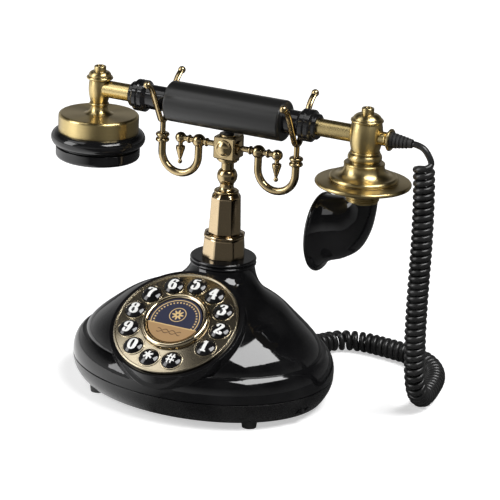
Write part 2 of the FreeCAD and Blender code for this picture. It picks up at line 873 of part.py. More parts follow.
def make_dial():
    lip = d.dial_radius - d.dial_lip
    plate = turned("dial_plate", [
        (0, 0),
        (d.dial_radius, 0),
        (d.dial_radius, d.dial_thick + d.dial_lip_height - d.dial_bevel),
        (d.dial_radius - d.dial_bevel, d.dial_thick + d.dial_lip_height),
        (lip, d.dial_thick + d.dial_lip_height),
        (lip - d.dial_lip_slope, d.dial_thick),
        (0, d.dial_thick),
    ])
    on_dial(plate, -d.dial_thick)
    hole = d.key_radius + d.key_gap
    first = on_circle(d.key_circle, FIRST_KEY)
    rings = [(hole + d.key_eyelet, *first), (hole, *first)]
    eyelet = plate.newObject("PartDesign::Pad", "dial_eyelet")
    eyelet.Profile = circle_sketch(plate, "dial_eyelet_rings", rings, d.dial_thick)
    bind(eyelet, "Length", d.key_eyelet_height)
    doc.recompute()
    punched = plate.newObject("PartDesign::Pocket", "dial_key_hole")
    punched.Profile = circle_sketch(plate, "dial_key_ring", [(hole, *first)])
    punched.Type = "ThroughAll"
    punched.Reversed = True
    doc.recompute()
    repeat_round(plate, "dial_key_holes", [eyelet, punched], KEY_COUNT, KEY_STEP)
    keep("dial_plate", plate)

    middle = (d.ring_outer + d.ring_inner) / 2
    ring = turned("centre_ring", [
        (d.ring_inner, 0),
        (d.ring_outer, 0),
        (d.ring_outer, d.ring_height * RING_SIDE),
        (d.ring_inner, d.ring_height * RING_SIDE, middle, d.ring_height),
    ])
    keep("centre_ring", on_dial(ring, 0))
    label = add("Part::Cylinder", "centre_label", Radius=d.label_radius, Height=d.label_thick)
    keep("centre_label", on_dial(label, 0))

    board_out = -d.dial_thick - key_stack()
    board = add("Part::Cylinder", "keypad_board", Radius=d.cup_seat - d.dial_gap, Height=d.keypad_thick)
    keep("keypad_board", on_dial(board, board_out))
    mat = turned("key_mat", [
        (0, 0),
        (d.cup_seat - 4 * d.dial_gap, 0),
        (d.cup_seat - 4 * d.dial_gap, d.mat_thick),
        (0, d.mat_thick),
    ])
    on_dial(mat, board_out + d.keypad_thick)
    pad = mat.newObject("PartDesign::Pad", "mat_pad")
    pad.Profile = circle_sketch(mat, "mat_pad_ring", [(d.key_stem, *first)], d.mat_thick)
    bind(pad, "Length", d.mat_pad)
    doc.recompute()
    repeat_round(mat, "mat_pads", [pad], KEY_COUNT, KEY_STEP)
    keep("key_mat", mat)


def make_keys():
    foot = -d.dial_thick - d.key_gap - d.key_flange_thick
    edge = d.key_edge - foot
    for i, name in enumerate(KEY_NAMES):
        label = f"key_{name}"
        key = turned(label, [
            (0, 0),
            (d.key_flange, 0),
            (d.key_flange, d.key_flange_thick),
            (d.key_radius, d.key_flange_thick),
            (d.key_radius, edge),
            (0, edge + d.key_crown, d.key_radius * KEY_DOME[0], edge + d.key_crown * KEY_DOME[1]),
        ])
        angle = FIRST_KEY + KEY_STEP * i
        keep(label, on_dial(key, foot, *on_circle(d.key_circle, angle)))


# Column: an eight-sided socket and shaft, drilled for the plunger's rod.
def prism(name, foot_radius, foot, head_radius, head):
    sections = []
    for i, (radius, z) in enumerate(((foot_radius, foot), (head_radius, head))):
        polygon = add("Part::RegularPolygon", f"{name}_{i}", Circumradius=radius)
        polygon.Polygon = COLUMN_SIDES
        sections.append(place(polygon, 0, d.column_y, z, Rotation(Vector(0, 0, 1), 180 / COLUMN_SIDES)))
    item = loft(name, sections)
    item.Ruled = True
    return item


def drilled(label, solid, foot, top):
    hole = cylinder(f"{label}_bore", d.rod_bore, top - foot + 2 * CLEAR, 0, d.column_y, foot - CLEAR)
    return keep(label, cut(label, solid, hole))


def make_column():
    socket = fuse("socket_solid", [
        prism("socket_side", d.socket_foot, d.collar_top, d.socket_head, d.socket_top),
        prism("socket_ledge", d.socket_head + d.ledge_reach, d.socket_top,
              d.socket_head - d.ledge_slope, d.ledge_top),
    ])
    drilled("column_socket", socket, d.collar_top, d.ledge_top)
    shoulder = d.shaft_top + d.shaft_shoulder
    shaft = fuse("shaft_solid", [
        prism("shaft_side", d.shaft_foot, d.ledge_top, d.shaft_head, d.shaft_top),
        prism("shaft_shoulder_side", d.shaft_head, d.shaft_top, d.shoulder_radius, shoulder),
    ])
    drilled("column_shaft", shaft, d.ledge_top, shoulder)
    foot = d.block_height - d.block_side / 2
    ring_top = shoulder + d.finial_ring_height
    ring_edge = d.finial_ring - d.finial_ring_height / 2
    ball_foot = d.ball_height - d.ball_radius * BALL_NECK
    ball_head = d.ball_height + d.ball_radius * BALL_NECK
    waist = d.ball_radius * BALL_REACH
    step = d.finial_step
    keep("column_finial", turned("column_finial", [
        (d.rod_bore, shoulder),
        (ring_edge, shoulder),
        (ring_edge, ring_top, d.finial_ring, (shoulder + ring_top) / 2),
        (ring_edge - step, ring_top),
        (d.finial_waist, ball_foot - step, d.finial_waist + step / 4, ring_top + step),
        (waist, ball_foot),
        (waist, ball_head, d.ball_radius, d.ball_height),
        (d.finial_neck, ball_head + step),
        (d.finial_neck, foot - 3 * step),
        (d.finial_flange - step, foot - 2 * step),
        (d.finial_flange - step, foot - step),
        (d.finial_flange, foot - step),
        (d.finial_flange, foot),
        (d.rod_bore, foot),
    ], 0, d.column_y, 0))


def make_block():
    half = d.block_side / 2
    foot = d.block_height - half
    body = doc.addObject("PartDesign::Body", "cradle_block")
    sketch = new_sketch(body, "block_outline", "XY_Plane")
    draw_outline(sketch, [(-half, -half), (half, -half), (half, half), (-half, half)])
    pad = body.newObject("PartDesign::Pad", "block_pad")
    pad.Profile = sketch
    bind(pad, "Length", d.block_side)
    doc.recompute()
    edges = [f"Edge{i + 1}" for i in range(len(pad.Shape.Edges))]
    bevel = body.newObject("PartDesign::Chamfer", "block_bevel")
    bevel.Base = (pad, edges)
    bind(bevel, "Size", d.block_chamfer)
    doc.recompute()
    place(body, 0, d.column_y, foot)
    top = d.block_height + half
    cap = cylinder("block_cap", d.block_cap, d.block_cap_height + CLEAR, 0, d.column_y, top - CLEAR)
    bore_foot = top + d.block_cap_height - d.stud_length - d.stud_gap - d.plunger_travel
    tools = fuse("block_tools", [
        cylinder("block_rod_bore", d.rod_bore, d.block_side, 0, d.column_y, foot - CLEAR),
        cylinder("block_stud_bore", d.stud_bore, d.block_side * 2, 0, d.column_y, bore_foot),
    ])
    keep("cradle_block", cut("cradle_block_bored", fuse("block_solid", [body, cap]), tools))
    rosettes = []
    for i, side in enumerate((-1, 1)):
        outline = [
            (0, 0),
            (d.rosette_radius, 0),
            (d.rosette_radius, d.rosette_rise * ROSETTE_SIDE),
            (d.rosette_radius * ROSETTE_GROOVE[0], d.rosette_rise * ROSETTE_GROOVE[1]),
            (0, d.rosette_rise, d.rosette_radius * ROSETTE_DOME[0], d.rosette_rise * ROSETTE_DOME[1]),
        ]
        turn = Rotation(Vector(1, 0, 0), -90 * side)
        rosettes.append(turned(f"rosette_{i}", outline, 0, d.column_y + half * side, d.block_height, turn))
    keep("block_rosettes", group("block_rosettes", rosettes))


def make_plunger():
    head = d.handset_height - d.grip_radius - d.stud_gap
    stud_foot = d.block_height + d.block_side / 2 + d.block_cap_height - d.stud_length
    keep("hook_plunger", turned("hook_plunger", [
        (0, d.rod_foot),
        (d.rod_radius, d.rod_foot),
        (d.rod_radius, stud_foot),
        (d.stud_radius, stud_foot),
        (d.stud_radius, head - d.stud_bevel),
        (d.stud_radius - d.stud_bevel, head),
        (0, head),
    ], 0, d.column_y, 0))


# Cradle arms: turned rods with two balls each, a hook below and a two-pronged fork.
def rod_bead(middle):
    """A rounded bead on an arm's rod, as two points of its outline."""
    foot = middle - d.arm_bead / 2
    top = middle + d.arm_bead / 2
    return [(d.arm_rod, foot), (d.arm_rod, top, d.arm_rod + d.arm_bead_rise, middle)]


def make_arm(label, side):
    start = d.block_side / 2
    inner_foot = d.inner_ball_x - d.inner_ball * BALL_REACH
    inner_top = d.inner_ball_x + d.inner_ball * BALL_REACH
    outer_foot = d.outer_ball_x - d.outer_ball * BALL_REACH
    outline = [
        (0, start),
        (d.arm_flange, start),
        (d.arm_flange, start + d.arm_bead / 2),
        (d.arm_rod, start + d.arm_bead),
        *rod_bead(inner_foot - d.arm_bead),
        (d.arm_rod, inner_foot),
        (d.inner_ball * BALL_NECK, inner_foot),
        (d.inner_ball * BALL_NECK, inner_top, d.inner_ball, d.inner_ball_x),
        (d.arm_rod, inner_top),
        *rod_bead((inner_top + outer_foot) / 2),
        (d.arm_rod, outer_foot),
        (d.outer_ball * BALL_NECK, outer_foot),
        (0, d.outer_ball_x + d.outer_ball, d.outer_ball, d.outer_ball_x),
    ]
    turn = Rotation(Vector(0, 1, 0), 90 * side)
    return keep(label, turned(label, outline, 0, d.column_y, d.block_height, turn))


def make_pendant(name, side, arm):
    """A drop that hangs from the outer ball: a neck, an upturned cone and a small ball at its tip."""
    top = d.block_height - d.outer_ball * BALL_REACH
    tip = d.pendant_ball
    cone_top = top - d.pendant_neck
    outline = [
        (0, d.pendant_tip),
        (tip * BALL_REACH, d.pendant_tip + tip * (1 + BALL_NECK), tip, d.pendant_tip + tip),
        (tip * BALL_NECK, d.pendant_tip + tip * 2),
        (d.pendant_top, cone_top - tip),
        (d.pendant_top, cone_top),
        (tip, cone_top + tip / 2),
        (tip, top),
        (0, top),
    ]
    body = turned(f"{name}_turned", outline, d.outer_ball_x * side, d.column_y, 0)
    return cut(name, body, arm)


def make_hook(label, side, arm):
    middle_x = (d.inner_ball_x + d.hook_radius) * side
    bend = add("Part::Torus", f"{label}_bend", Radius1=d.hook_radius, Radius2=d.hook_tube)
    bend.Angle3 = 180
    place(bend, middle_x, d.column_y, d.hook_height, Rotation(Vector(1, 0, 0), -90))
    inner = cylinder(f"{label}_inner", d.hook_tube, d.block_height - d.hook_height,
                     d.inner_ball_x * side, d.column_y, d.hook_height)
    outer = cylinder(f"{label}_outer", d.hook_tube, d.hook_end - d.hook_height,
                     (d.inner_ball_x + 2 * d.hook_radius) * side, d.column_y, d.hook_height)
    return keep(label, cut(label, fuse(f"{label}_solid", [bend, inner, outer]), arm))


def strap_end(name, x, y, z, out):
    """The oval section of a fork's strap, wide along X and thin along the outward direction."""
    across = Vector(1, 0, 0)
    section = add("Part::Ellipse", name, MajorRadius=d.fork_width / 2, MinorRadius=d.fork_thick / 2)
    return place(section, x, y, z, Rotation(across, out, across.cross(out), "XYZ"))


def strap_bend(name, section, x, y, z, way, angle):
    """Turns a strap's section about an axis along X through y and z."""
    bend = add("Part::Revolution", name, Angle=angle)
    bend.Source = section
    bend.Axis = Vector(way, 0, 0)
    bend.Base = Vector(number(x), number(y), number(z))
    bend.Solid = True
    bind(bend, "Base.x", x)
    bind(bend, "Base.y", y)
    bind(bend, "Base.z", z)
    return bend


def strap_run(name, section, way, length):
    """A straight length of strap from its section."""
    run = doc.addObject("Part::Extrusion", name)
    run.Base = section
    run.DirMode = "Custom"
    run.Dir = way
    run.Solid = True
    bind(run, "LengthFwd", length)
    return run


def make_stem(name, x, top):
    """The fork's stem: two rings over the hook's end and a thin neck."""
    ring = (d.fork_collar_height - d.fork_groove) / 2
    inner = d.fork_collar - ring / 2
    outline = [(0, d.hook_end)]
    for foot in (d.hook_end, d.hook_end + ring + d.fork_groove):
        outline += [(inner, foot), (inner, foot + ring, d.fork_collar, foot + ring / 2)]
    collar_top = d.hook_end + d.fork_collar_height
    outline += [(d.fork_neck, collar_top), (d.fork_neck, top), (0, top)]
    return turned(name, outline, x, d.column_y, 0)


def make_fork(label, side):
    """A strap bent to a V that holds the handset's neck, with curled prongs, on a ringed stem."""
    x = (d.inner_ball_x + 2 * d.hook_radius) * side
    lean = math.radians(number(d.fork_lean))
    hold = d.ferrule_neck + d.fork_gap + d.fork_thick / 2
    root_z = d.handset_height - (hold - d.fork_root) / sine(d.fork_lean)
    solids = [make_stem(f"{label}_stem", x, root_z - d.fork_root)]
    end_lean = d.fork_lean + d.prong_turn
    for name, way in (("front", -1), ("back", 1)):
        out = Vector(0, way * math.cos(lean), -math.sin(lean))
        along = Vector(0, way * math.sin(lean), math.cos(lean))
        y = d.column_y + d.fork_root * cosine(d.fork_lean) * way
        z = root_z - d.fork_root * sine(d.fork_lean)
        foot = strap_end(f"{label}_{name}_foot", x, y, z, out)
        if way < 0:
            bend = 180 - 2 * d.fork_lean
            solids.append(strap_bend(f"{label}_root", foot, x, d.column_y, root_z, 1, bend))
        solids.append(strap_run(f"{label}_{name}_run", foot, along, d.prong_length))
        y += d.prong_length * sine(d.fork_lean) * way
        z += d.prong_length * cosine(d.fork_lean)
        neck = strap_end(f"{label}_{name}_neck", x, y, z, out)
        y += d.prong_curl * cosine(d.fork_lean) * way
        z -= d.prong_curl * sine(d.fork_lean)
        solids.append(strap_bend(f"{label}_{name}_curl", neck, x, y, z, -way, d.prong_turn))
        y -= d.prong_curl * cosine(end_lean) * way
        z += d.prong_curl * sine(end_lean)
        solids.append(place(add("Part::Sphere", f"{label}_{name}_tip", Radius=d.fork_tip), x, y, z))
    return keep(label, fuse(label, solids))


def make_cradle():
    pendants = []
    for name, side in (("left", -1), ("right", 1)):
        arm = make_arm(f"{name}_arm", side)
        pendants.append(make_pendant(f"{name}_pendant", side, arm))
        make_hook(f"{name}_hook", side, arm)
        make_fork(f"{name}_fork", side)
    keep("pendants", group("pendants", pendants))


# Handset: a tube through the grip and ferrules, with a barrel at each end.
def make_grip():
    bore = d.tube_radius + d.tube_gap
    length = d.grip_right - d.grip_left
    soft = d.grip_round
    corner = soft * GRIP_CORNER
    along = Rotation(Vector(0, 1, 0), 90)
    keep("grip", turned("grip", [
        (bore, 0),
        (d.grip_radius - soft, 0),
        (d.grip_radius, soft, d.grip_radius - corner, corner),
        (d.grip_radius, length - soft),
        (d.grip_radius - soft, length, d.grip_radius - corner, length - corner),
        (bore, length),
    ], d.grip_left, d.column_y, d.handset_height, along))


def make_ferrule(label, x, side, neck):
    """A moulded neck and a twice-grooved ring, threaded on the tube against the grip."""
    bore = d.tube_radius + d.tube_gap
    ring_top = neck + d.ferrule_ring_length
    rib = d.ferrule_ring_length / FERRULE_RIBS
    ease = d.ferrule_groove
    dip = d.ferrule_ring - ease
    outline = [
        (bore, 0),
        (d.ferrule_neck, 0),
        (d.ferrule_neck, neck - 2 * ease),
        (dip, neck),
    ]
    for i in range(FERRULE_RIBS):
        foot = neck + rib * i
        outline.append((d.ferrule_ring, foot + ease))
        outline.append((d.ferrule_ring, foot + rib - ease))
        outline.append((dip, foot + rib))
    end = ring_top + d.ferrule_end_length
    outline += [
        (d.ferrule_end, ring_top + ease),
        (d.ferrule_end, end - ease),
        (d.ferrule_end - ease, end),
        (bore, end),
    ]
    turn = Rotation(Vector(0, 1, 0), 90 * side)
    keep(label, turned(label, outline, x, d.column_y, d.handset_height, turn))


def make_barrel(label, x, waist, belly, shoulder, top):
    """A vase-shaped barrel, fullest where the tube meets it."""
    foot = d.barrel_foot
    return keep(label, turned(label, [
        (0, foot),
        (waist, foot),
        (shoulder, top, belly, d.handset_height),
        (0, top),
    ], x, d.column_y, 0))


def make_finial(label, x, brim, foot, top):
    """A rounded brim under a stepped dome, with a dished nub on top."""
    edge = brim - d.brim_height / 2
    brim_top = foot + d.brim_height
    tier = brim - d.brim_step
    tier_foot = brim_top + d.brim_step / 2
    tier_top = foot + d.tier_height
    cone = d.nub_radius + d.brim_step
    inside = d.nub_radius - d.brim_step
    bevel = d.nub_dish / 2
    return keep(label, turned(label, [
        (0, foot),
        (edge, foot),
        (edge, brim_top, brim, foot + d.brim_height / 2),
        (tier, brim_top),
        (tier, tier_foot),
        (cone, tier_top, (tier + cone) / 2 + bevel, (tier_foot + tier_top) / 2 + bevel),
        (d.nub_radius, tier_top),
        (d.nub_radius, top - bevel),
        (d.nub_radius - bevel, top),
        (inside, top),
        (inside, top - d.nub_dish),
        (0, top - d.nub_dish),
    ], x, d.column_y, 0))


def make_ear():
    x = d.ear_x
    plate = d.drum_top - d.drum_wall
    inner = d.drum_radius - d.drum_wall
    soft = d.drum_round
    bead_foot = d.barrel_foot - d.ear_bead_height
    flare_top = d.ear_bead - d.ear_bead_height / 2
    flare_middle = flare_top + (d.flare_radius - flare_top) * CORNER
    flare_height = d.drum_top + (bead_foot - d.drum_top) * CORNER
    keep("ear_drum", turned("ear_drum", [
        (0, plate),
        (inner - soft, plate),
        (inner, plate - soft, inner - soft * CORNER, plate - soft * CORNER),
        (inner, d.drum_foot),
        (d.drum_radius, d.drum_foot),
        (d.drum_radius, d.drum_top - soft),
        (d.drum_radius - soft, d.drum_top, d.drum_radius - soft * CORNER, d.drum_top - soft * CORNER),
        (d.flare_radius, d.drum_top),
        (flare_top, bead_foot, flare_middle, flare_height),
        (flare_top, d.barrel_foot, d.ear_bead, d.barrel_foot - d.ear_bead_height / 2),
        (0, d.barrel_foot),
    ], x, d.column_y, 0))
    cap_round = d.ear_cap_round
    floor = d.ear_cap_foot + d.ear_cap_floor
    ring_foot = d.drum_foot - d.ear_ring_height
    throat = d.ear_cap - d.ear_groove
    lip = d.ear_groove / 2
    bore = d.capsule_radius + d.capsule_gap
    dish_rim = d.ear_cap * DISH_RIM
    cap = turned("ear_cap", [
        (0, d.ear_cap_foot + d.ear_dish),
        (dish_rim, d.ear_cap_foot, d.ear_cap * DISH_MIDDLE[0], d.ear_cap_foot + d.ear_dish * DISH_MIDDLE[1]),
        (d.ear_cap - cap_round, d.ear_cap_foot),
        (d.ear_cap, d.ear_cap_foot + cap_round,
         d.ear_cap - cap_round * CORNER, d.ear_cap_foot + cap_round * CORNER),
        (d.ear_cap, ring_foot - d.ear_groove),
        (throat, ring_foot - lip),
        (throat, ring_foot),
        (d.drum_radius + lip, d.drum_foot, d.ear_ring, ring_foot + d.ear_ring_height / 2),
        (bore, d.drum_foot),
        (bore, floor),
        (0, floor),
    ], x, d.column_y, 0)
    sound = cap.newObject("PartDesign::Pocket", "ear_sound_hole")
    hole = (d.ear_hole, *on_circle(d.ear_hole_circle, 360 / EAR_HOLES))
    sound.Profile = circle_sketch(cap, "ear_sound_ring", [hole], d.ear_cap_foot - CLEAR)
    sound.Type = "ThroughAll"
    sound.Reversed = True
    doc.recompute()
    repeat_round(cap, "ear_sound_holes", [sound], EAR_HOLES, 360 / EAR_HOLES)
    keep("ear_cap", cap)
    keep("receiver_capsule", turned("receiver_capsule", [
        (0, floor),
        (d.capsule_radius, floor),
        (d.capsule_radius, floor + d.capsule_height * CAPSULE_SIDE),
        (d.capsule_radius * CAPSULE_TOP, floor + d.capsule_height),
        (0, floor + d.capsule_height),
    ], x, d.column_y, 0))


def make_mouth():
    """A threaded boss under a plate, with a step and a bell that rises to two beads under the barrel."""
    foot = d.flange_height - d.flange_thick
    rim = d.flange_radius - d.flange_thick / 2
    step_foot = d.flange_height + d.flange_crown
    step_top = step_foot + d.step_height
    bell_head = step_top + d.bell_height
    roll = d.bell_roll
    band = d.mouth_ring - roll / 2
    groove = d.mouth_ring - roll
    band_foot = bell_head + 2 * roll
    bead_foot = d.barrel_foot - roll
    keep("mouth_flange", turned("mouth_flange", [
        (d.thread_bore, d.thread_foot),
        (d.thread_radius, d.thread_foot),
        (d.thread_radius, foot - roll),
        (d.thread_radius + 2 * roll, foot - roll / 2),
        (rim - 2 * roll, foot),
        (rim, foot),
        (rim, d.flange_height, d.flange_radius, foot + d.flange_thick / 2),
        (d.step_radius, step_foot),
        (d.step_radius - roll, step_top, d.step_radius, step_top - roll / 2),
        (d.bell_foot, step_top),
        (d.bell_top, bell_head,
         d.bell_top + (d.bell_foot - d.bell_top) * CORNER, step_top + d.bell_height * CORNER),
        (d.bell_top - roll / 2, bell_head + roll, d.bell_top + roll / 8, bell_head + roll / 2),
        (groove, bell_head + roll),
        (groove, band_foot),
        (band, band_foot),
        (band, bead_foot - roll / 2, d.mouth_ring, (band_foot + bead_foot) / 2),
        (d.mouth_waist, bead_foot - roll / 2),
        (d.mouth_waist, bead_foot),
        (d.mouth_waist, d.barrel_foot, d.mouth_waist + roll / 2, d.barrel_foot - roll / 2),
        (d.thread_bore, d.barrel_foot),
    ], d.mouth_x, d.column_y, 0))


# Horn: a flared tube that bends from straight down towards the ear end.
HORN_ROWS = ((0, 0), (0.35, 0.34), (0.66, 0.72), (0.88, 1))


def horn_spot(share):
    """The place and turn of the horn's axis after a share of its bend."""
    angle = d.horn_turn * share
    x = d.mouth_x - d.horn_bend * (1 - cosine(angle))
    z = d.thread_foot - d.horn_lead - d.horn_bend * sine(angle)
    return x, z, Rotation(Vector(0, 1, 0), 180 + number(angle))


def horn_ring(name, radius, share):
    x, z, turn = horn_spot(share)
    return place(add("Part::Circle", name, Radius=radius), x, d.column_y, z, turn)


def horn_loft(name, inset, extra):
    first = add("Part::Circle", f"{name}_first", Radius=d.horn_throat - inset)
    place(first, d.mouth_x, d.column_y, d.thread_foot + extra, Rotation(Vector(0, 1, 0), 180))
    sections = [first]
    for i, (share, swell) in enumerate(HORN_ROWS):
        radius = d.horn_throat + (d.horn_belly - d.horn_throat) * swell - inset
        sections.append(horn_ring(f"{name}_{i}", radius, share))
    sections.append(horn_ring(f"{name}_mouth", d.horn_mouth - inset, 1 + extra * MOUTH_PASS))
    return loft(name, sections)


def make_horn():
    outside = horn_loft("horn_outside", 0 * d.horn_wall, 0)
    tube = cut("horn_tube", outside, horn_loft("horn_inside", d.horn_wall, 1))
    x, z, turn = horn_spot(1)
    lip = add("Part::Torus", "horn_rim", Radius1=d.horn_mouth - d.horn_lip * LIP_SEAT, Radius2=d.horn_lip)
    place(lip, x, d.column_y, z, turn)
    keep("horn", fuse("horn", [tube, lip]))
    keep("mic_capsule", cylinder("mic_capsule", d.mic_radius, d.mic_height,
                                 d.mouth_x, d.column_y, d.thread_foot - d.mic_height))


def make_outlet(barrel):
    along = Rotation(Vector(0, 1, 0), 90)
    lip_foot = d.nipple_end - d.nipple_lip_thick
    edge = d.nipple_edge
    nipple = turned("nipple_turned", [
        (0, d.mouth_x),
        (d.nipple_radius, d.mouth_x),
        (d.nipple_radius, lip_foot - d.nipple_flare),
        (d.nipple_lip - edge, lip_foot, d.nipple_radius + NIPPLE_CURVE[0], lip_foot - NIPPLE_CURVE[1]),
        (d.nipple_lip, lip_foot + edge),
        (d.nipple_lip, d.nipple_end - edge),
        (d.nipple_lip - edge, d.nipple_end),
        (0, d.nipple_end),
    ], 0, d.column_y, d.handset_height, along)
    keep("cord_nipple", cut("cord_nipple", nipple, barrel))
    step = d.relief_length / (RELIEF_RIBS + 1)
    slope = (d.relief_radius - d.relief_tip) / (RELIEF_RIBS + 1)
    outline = [(0, d.nipple_end), (d.relief_radius, d.nipple_end)]
    for i in range(RELIEF_RIBS):
        radius = d.relief_radius - slope * i
        foot = d.nipple_end + step * i
        outline += [
            (radius, foot + step * RIB_TOP),
            (radius - d.relief_groove, foot + step * GROOVE_START),
            (radius - d.relief_groove, foot + step * GROOVE_END),
            (radius - slope, foot + step),
        ]
    outline += [
        (d.relief_tip, d.nipple_end + d.relief_length),
        (0, d.nipple_end + d.relief_length),
    ]
    keep("strain_relief", turned("strain_relief", outline, 0, d.column_y, d.handset_height, along))


def make_tube(barrels):
    rod = cylinder("tube_rod", d.tube_radius, d.mouth_x - d.ear_x, d.ear_x, d.column_y,
                   d.handset_height, Rotation(Vector(0, 1, 0), 90))
    keep("handset_tube", cut("handset_tube", rod, fuse("tube_ends", barrels)))


# Curly cord: one unbroken wire that winds round the route.
def biarc(start, start_way, end, end_way):
    """Two arcs, or straight edges, that leave start and reach end in the given directions."""
    gap = end - start
    both = start_way + end_way
    across = 2 * (1 - start_way.dot(end_way))
    along = gap.dot(both)
    if across < 1e-9:
        reach = gap.dot(gap) / (4 * gap.dot(end_way))
    else:
        reach = (math.sqrt(along**2 + across * gap.dot(gap)) - along) / across
    middle = (start + start_way * reach + end - end_way * reach) * 0.5
    middle_way = ((end - end_way * reach) - (start + start_way * reach)).normalize()
    return [arc_from(start, start_way, middle), arc_from(middle, middle_way, end)]


def arc_from(start, way, end):
    chord = end - start
    side = way - chord * (way.dot(chord) / chord.dot(chord))
    if side.Length < 1e-6:
        return Part.LineSegment(start, end)
    half_angle = way.getAngle(chord) / 2
    rise = chord.Length / 2 * math.tan(half_angle)
    return Part.Arc(start, start + chord * 0.5 + side.normalize() * rise, end)


def coil_points(route, radius, pitch):
    """Points of a helix round a smooth axis whose control points are the route. The curls open where
    the axis bends, so that they stay one pitch apart on the inside of the bend."""
    axis = Part.BSplineCurve()
    axis.buildFromPoles(route, False, 2)
    span = axis.LastParameter - axis.FirstParameter
    step_turn = 1 / CURL_SAMPLES
    across = Vector(1, 0, 0)
    points = []
    turns = 0
    last = axis.value(axis.FirstParameter)
    for i in range(ROUTE_SAMPLES + 1):
        u = axis.FirstParameter + span * i / ROUTE_SAMPLES
        spot = axis.value(u)
        way = axis.tangent(u)[0]
        turns += spot.distanceToPoint(last) * (1 - radius * axis.curvature(u)) / pitch
        last = spot
        across = (across - way * across.dot(way)).normalize()
        if turns < len(points) * step_turn:
            continue
        angle = 2 * math.pi * turns
        points.append(spot + (across * math.cos(angle) + way.cross(across) * math.sin(angle)) * radius)
    return points, axis.length()


def least_curl_gap(points, wire):
    """The least space between one curl and the next three."""
    gaps = []
    for i in range(0, len(points), 2):
        for j in range(i + CURL_SAMPLES // 2, min(i + 3 * CURL_SAMPLES, len(points))):
            gaps.append(points[i].distanceToPoint(points[j]))
    return min(gaps) - wire


def make_cord():
    wire = d.cord_wire.value
    radius = (d.cord_outer.value - wire) / 2
    points, axis_length = coil_points([Vector(*p) for p in CORD_ROUTE], radius, d.cord_pitch.value)
    gap = least_curl_gap(points, wire)
    curls = len(points) // CURL_SAMPLES
    print(f"curly cord: {curls} curls on {axis_length:.0f} mm, least gap {gap:.2f} mm")
    if gap < LEAST_CURL_GAP:
        raise ValueError("the cord's curls come too near each other")
    nodes = []
    for i in range(CURL_SAMPLES // 8, len(points) - 1, CURL_SAMPLES // 2):
        nodes.append((points[i], (points[i + 1] - points[i - 1]).normalize()))
    relief_end = d.nipple_end + d.relief_length + d.cord_gap
    exit_point = Vector(relief_end.value, d.column_y.value, d.handset_height.value)
    east = Vector(1, 0, 0)
    plug_y = d.base_y + d.jack_y + d.jack_depth - d.socket_depth + d.plug_gap + d.plug_length
    plug_point = Vector(d.cord_jack_x.value, plug_y.value, (d.jack_sill + d.jack_height / 2).value)
    north = Vector(0, 1, 0)
    down_way = Vector(*CORD_DROP).normalize()
    shoulder = exit_point + Vector(*CORD_SHOULDER)
    leads_in = [
        (exit_point, east),
        (exit_point + east * wire, east),
        (shoulder, down_way),
    ]
    leads_out = [
        (plug_point + north * wire * PLUG_LEAD, north * -1),
        (plug_point, north * -1),
    ]
    stations = leads_in + nodes + leads_out
    curves = []
    for (start, start_way), (end, end_way) in zip(stations, stations[1:]):
        curves += biarc(start, start_way, end, end_way)
    edges = [curve.toShape() for curve in curves]
    tightest = min(edge.Curve.Radius for edge in edges if hasattr(edge.Curve, "Radius"))
    print(f"curly cord: tightest arc {tightest:.2f} mm")
    spine = Part.Wire(edges)
    section = Part.Wire([Part.Circle(exit_point, east, wire / 2).toShape()])
    pipe = Part.BRepOffsetAPI.MakePipeShell(spine)
    pipe.add(section, False, False)
    pipe.build()
    pipe.makeSolid()
    solid = pipe.shape()
    share = solid.Volume / (math.pi * wire**2 / 4 * spine.Length)
    print(f"curly cord: wire {spine.Length:.0f} mm, volume over section times length {share:.4f}")
    cord = doc.addObject("Part::Feature", "handset_cord")
    cord.Shape = solid
    keep("handset_cord", cord)


make_pan()
make_shell()
make_feet_and_screws()
make_inside()
make_jacks()
make_slider()
make_dial()
make_keys()
make_column()
make_block()
make_plunger()
make_cradle()
make_grip()
make_ferrule("left_ferrule", d.grip_left, -1, d.left_neck)
make_ferrule("right_ferrule", d.grip_right, 1, d.right_neck)
ear_barrel = make_barrel("ear_barrel", d.ear_x, d.ear_waist, d.ear_belly, d.ear_shoulder, d.ear_finial_foot)
mouth_barrel = make_barrel("mouth_barrel", d.mouth_x, d.mouth_waist, d.mouth_belly, d.mouth_shoulder,
                           d.mouth_finial_foot)
make_tube([ear_barrel, mouth_barrel])
make_finial("ear_finial", d.ear_x, d.ear_brim, d.ear_finial_foot, d.ear_top)
make_finial("mouth_finial", d.mouth_x, d.mouth_brim, d.mouth_finial_foot, d.mouth_top)
make_ear()
make_mouth()
make_horn()
make_outlet(mouth_barrel)
make_cord()
doc.recompute()

faults = [item.Label for item in doc.Objects if {"Invalid", "Error"} & set(item.State)]
for label, item in parts.items():
    if item.Shape.isNull() or not item.Shape.isValid() or not item.Shape.Solids:
        faults.append(label)
if faults:
    raise RuntimeError(f"these did not build: {sorted(set(faults))}")
os.makedirs("parts", exist_ok=True)
for label, item in parts.items():
    item.Shape.exportStep(f"parts/{label}.step")
print(f"{len(parts)} sub-parts written")
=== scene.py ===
# %% [markdown]
# # The looks of a cradle telephone
#
# A black telephone in an old style: an oval glossy base with a push-button dial, a brass
# column, and a handset that lies in two forks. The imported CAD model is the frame. This lesson
# gives every CAD piece its finish, and adds what a finish can't give: the curly cord, the
# swelling horn, the column's eased corners, the figures on the keys, a screw thread and the
# wires in the socket.

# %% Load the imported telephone
import math

import bpy
import numpy as np
from mathutils import Matrix, Vector


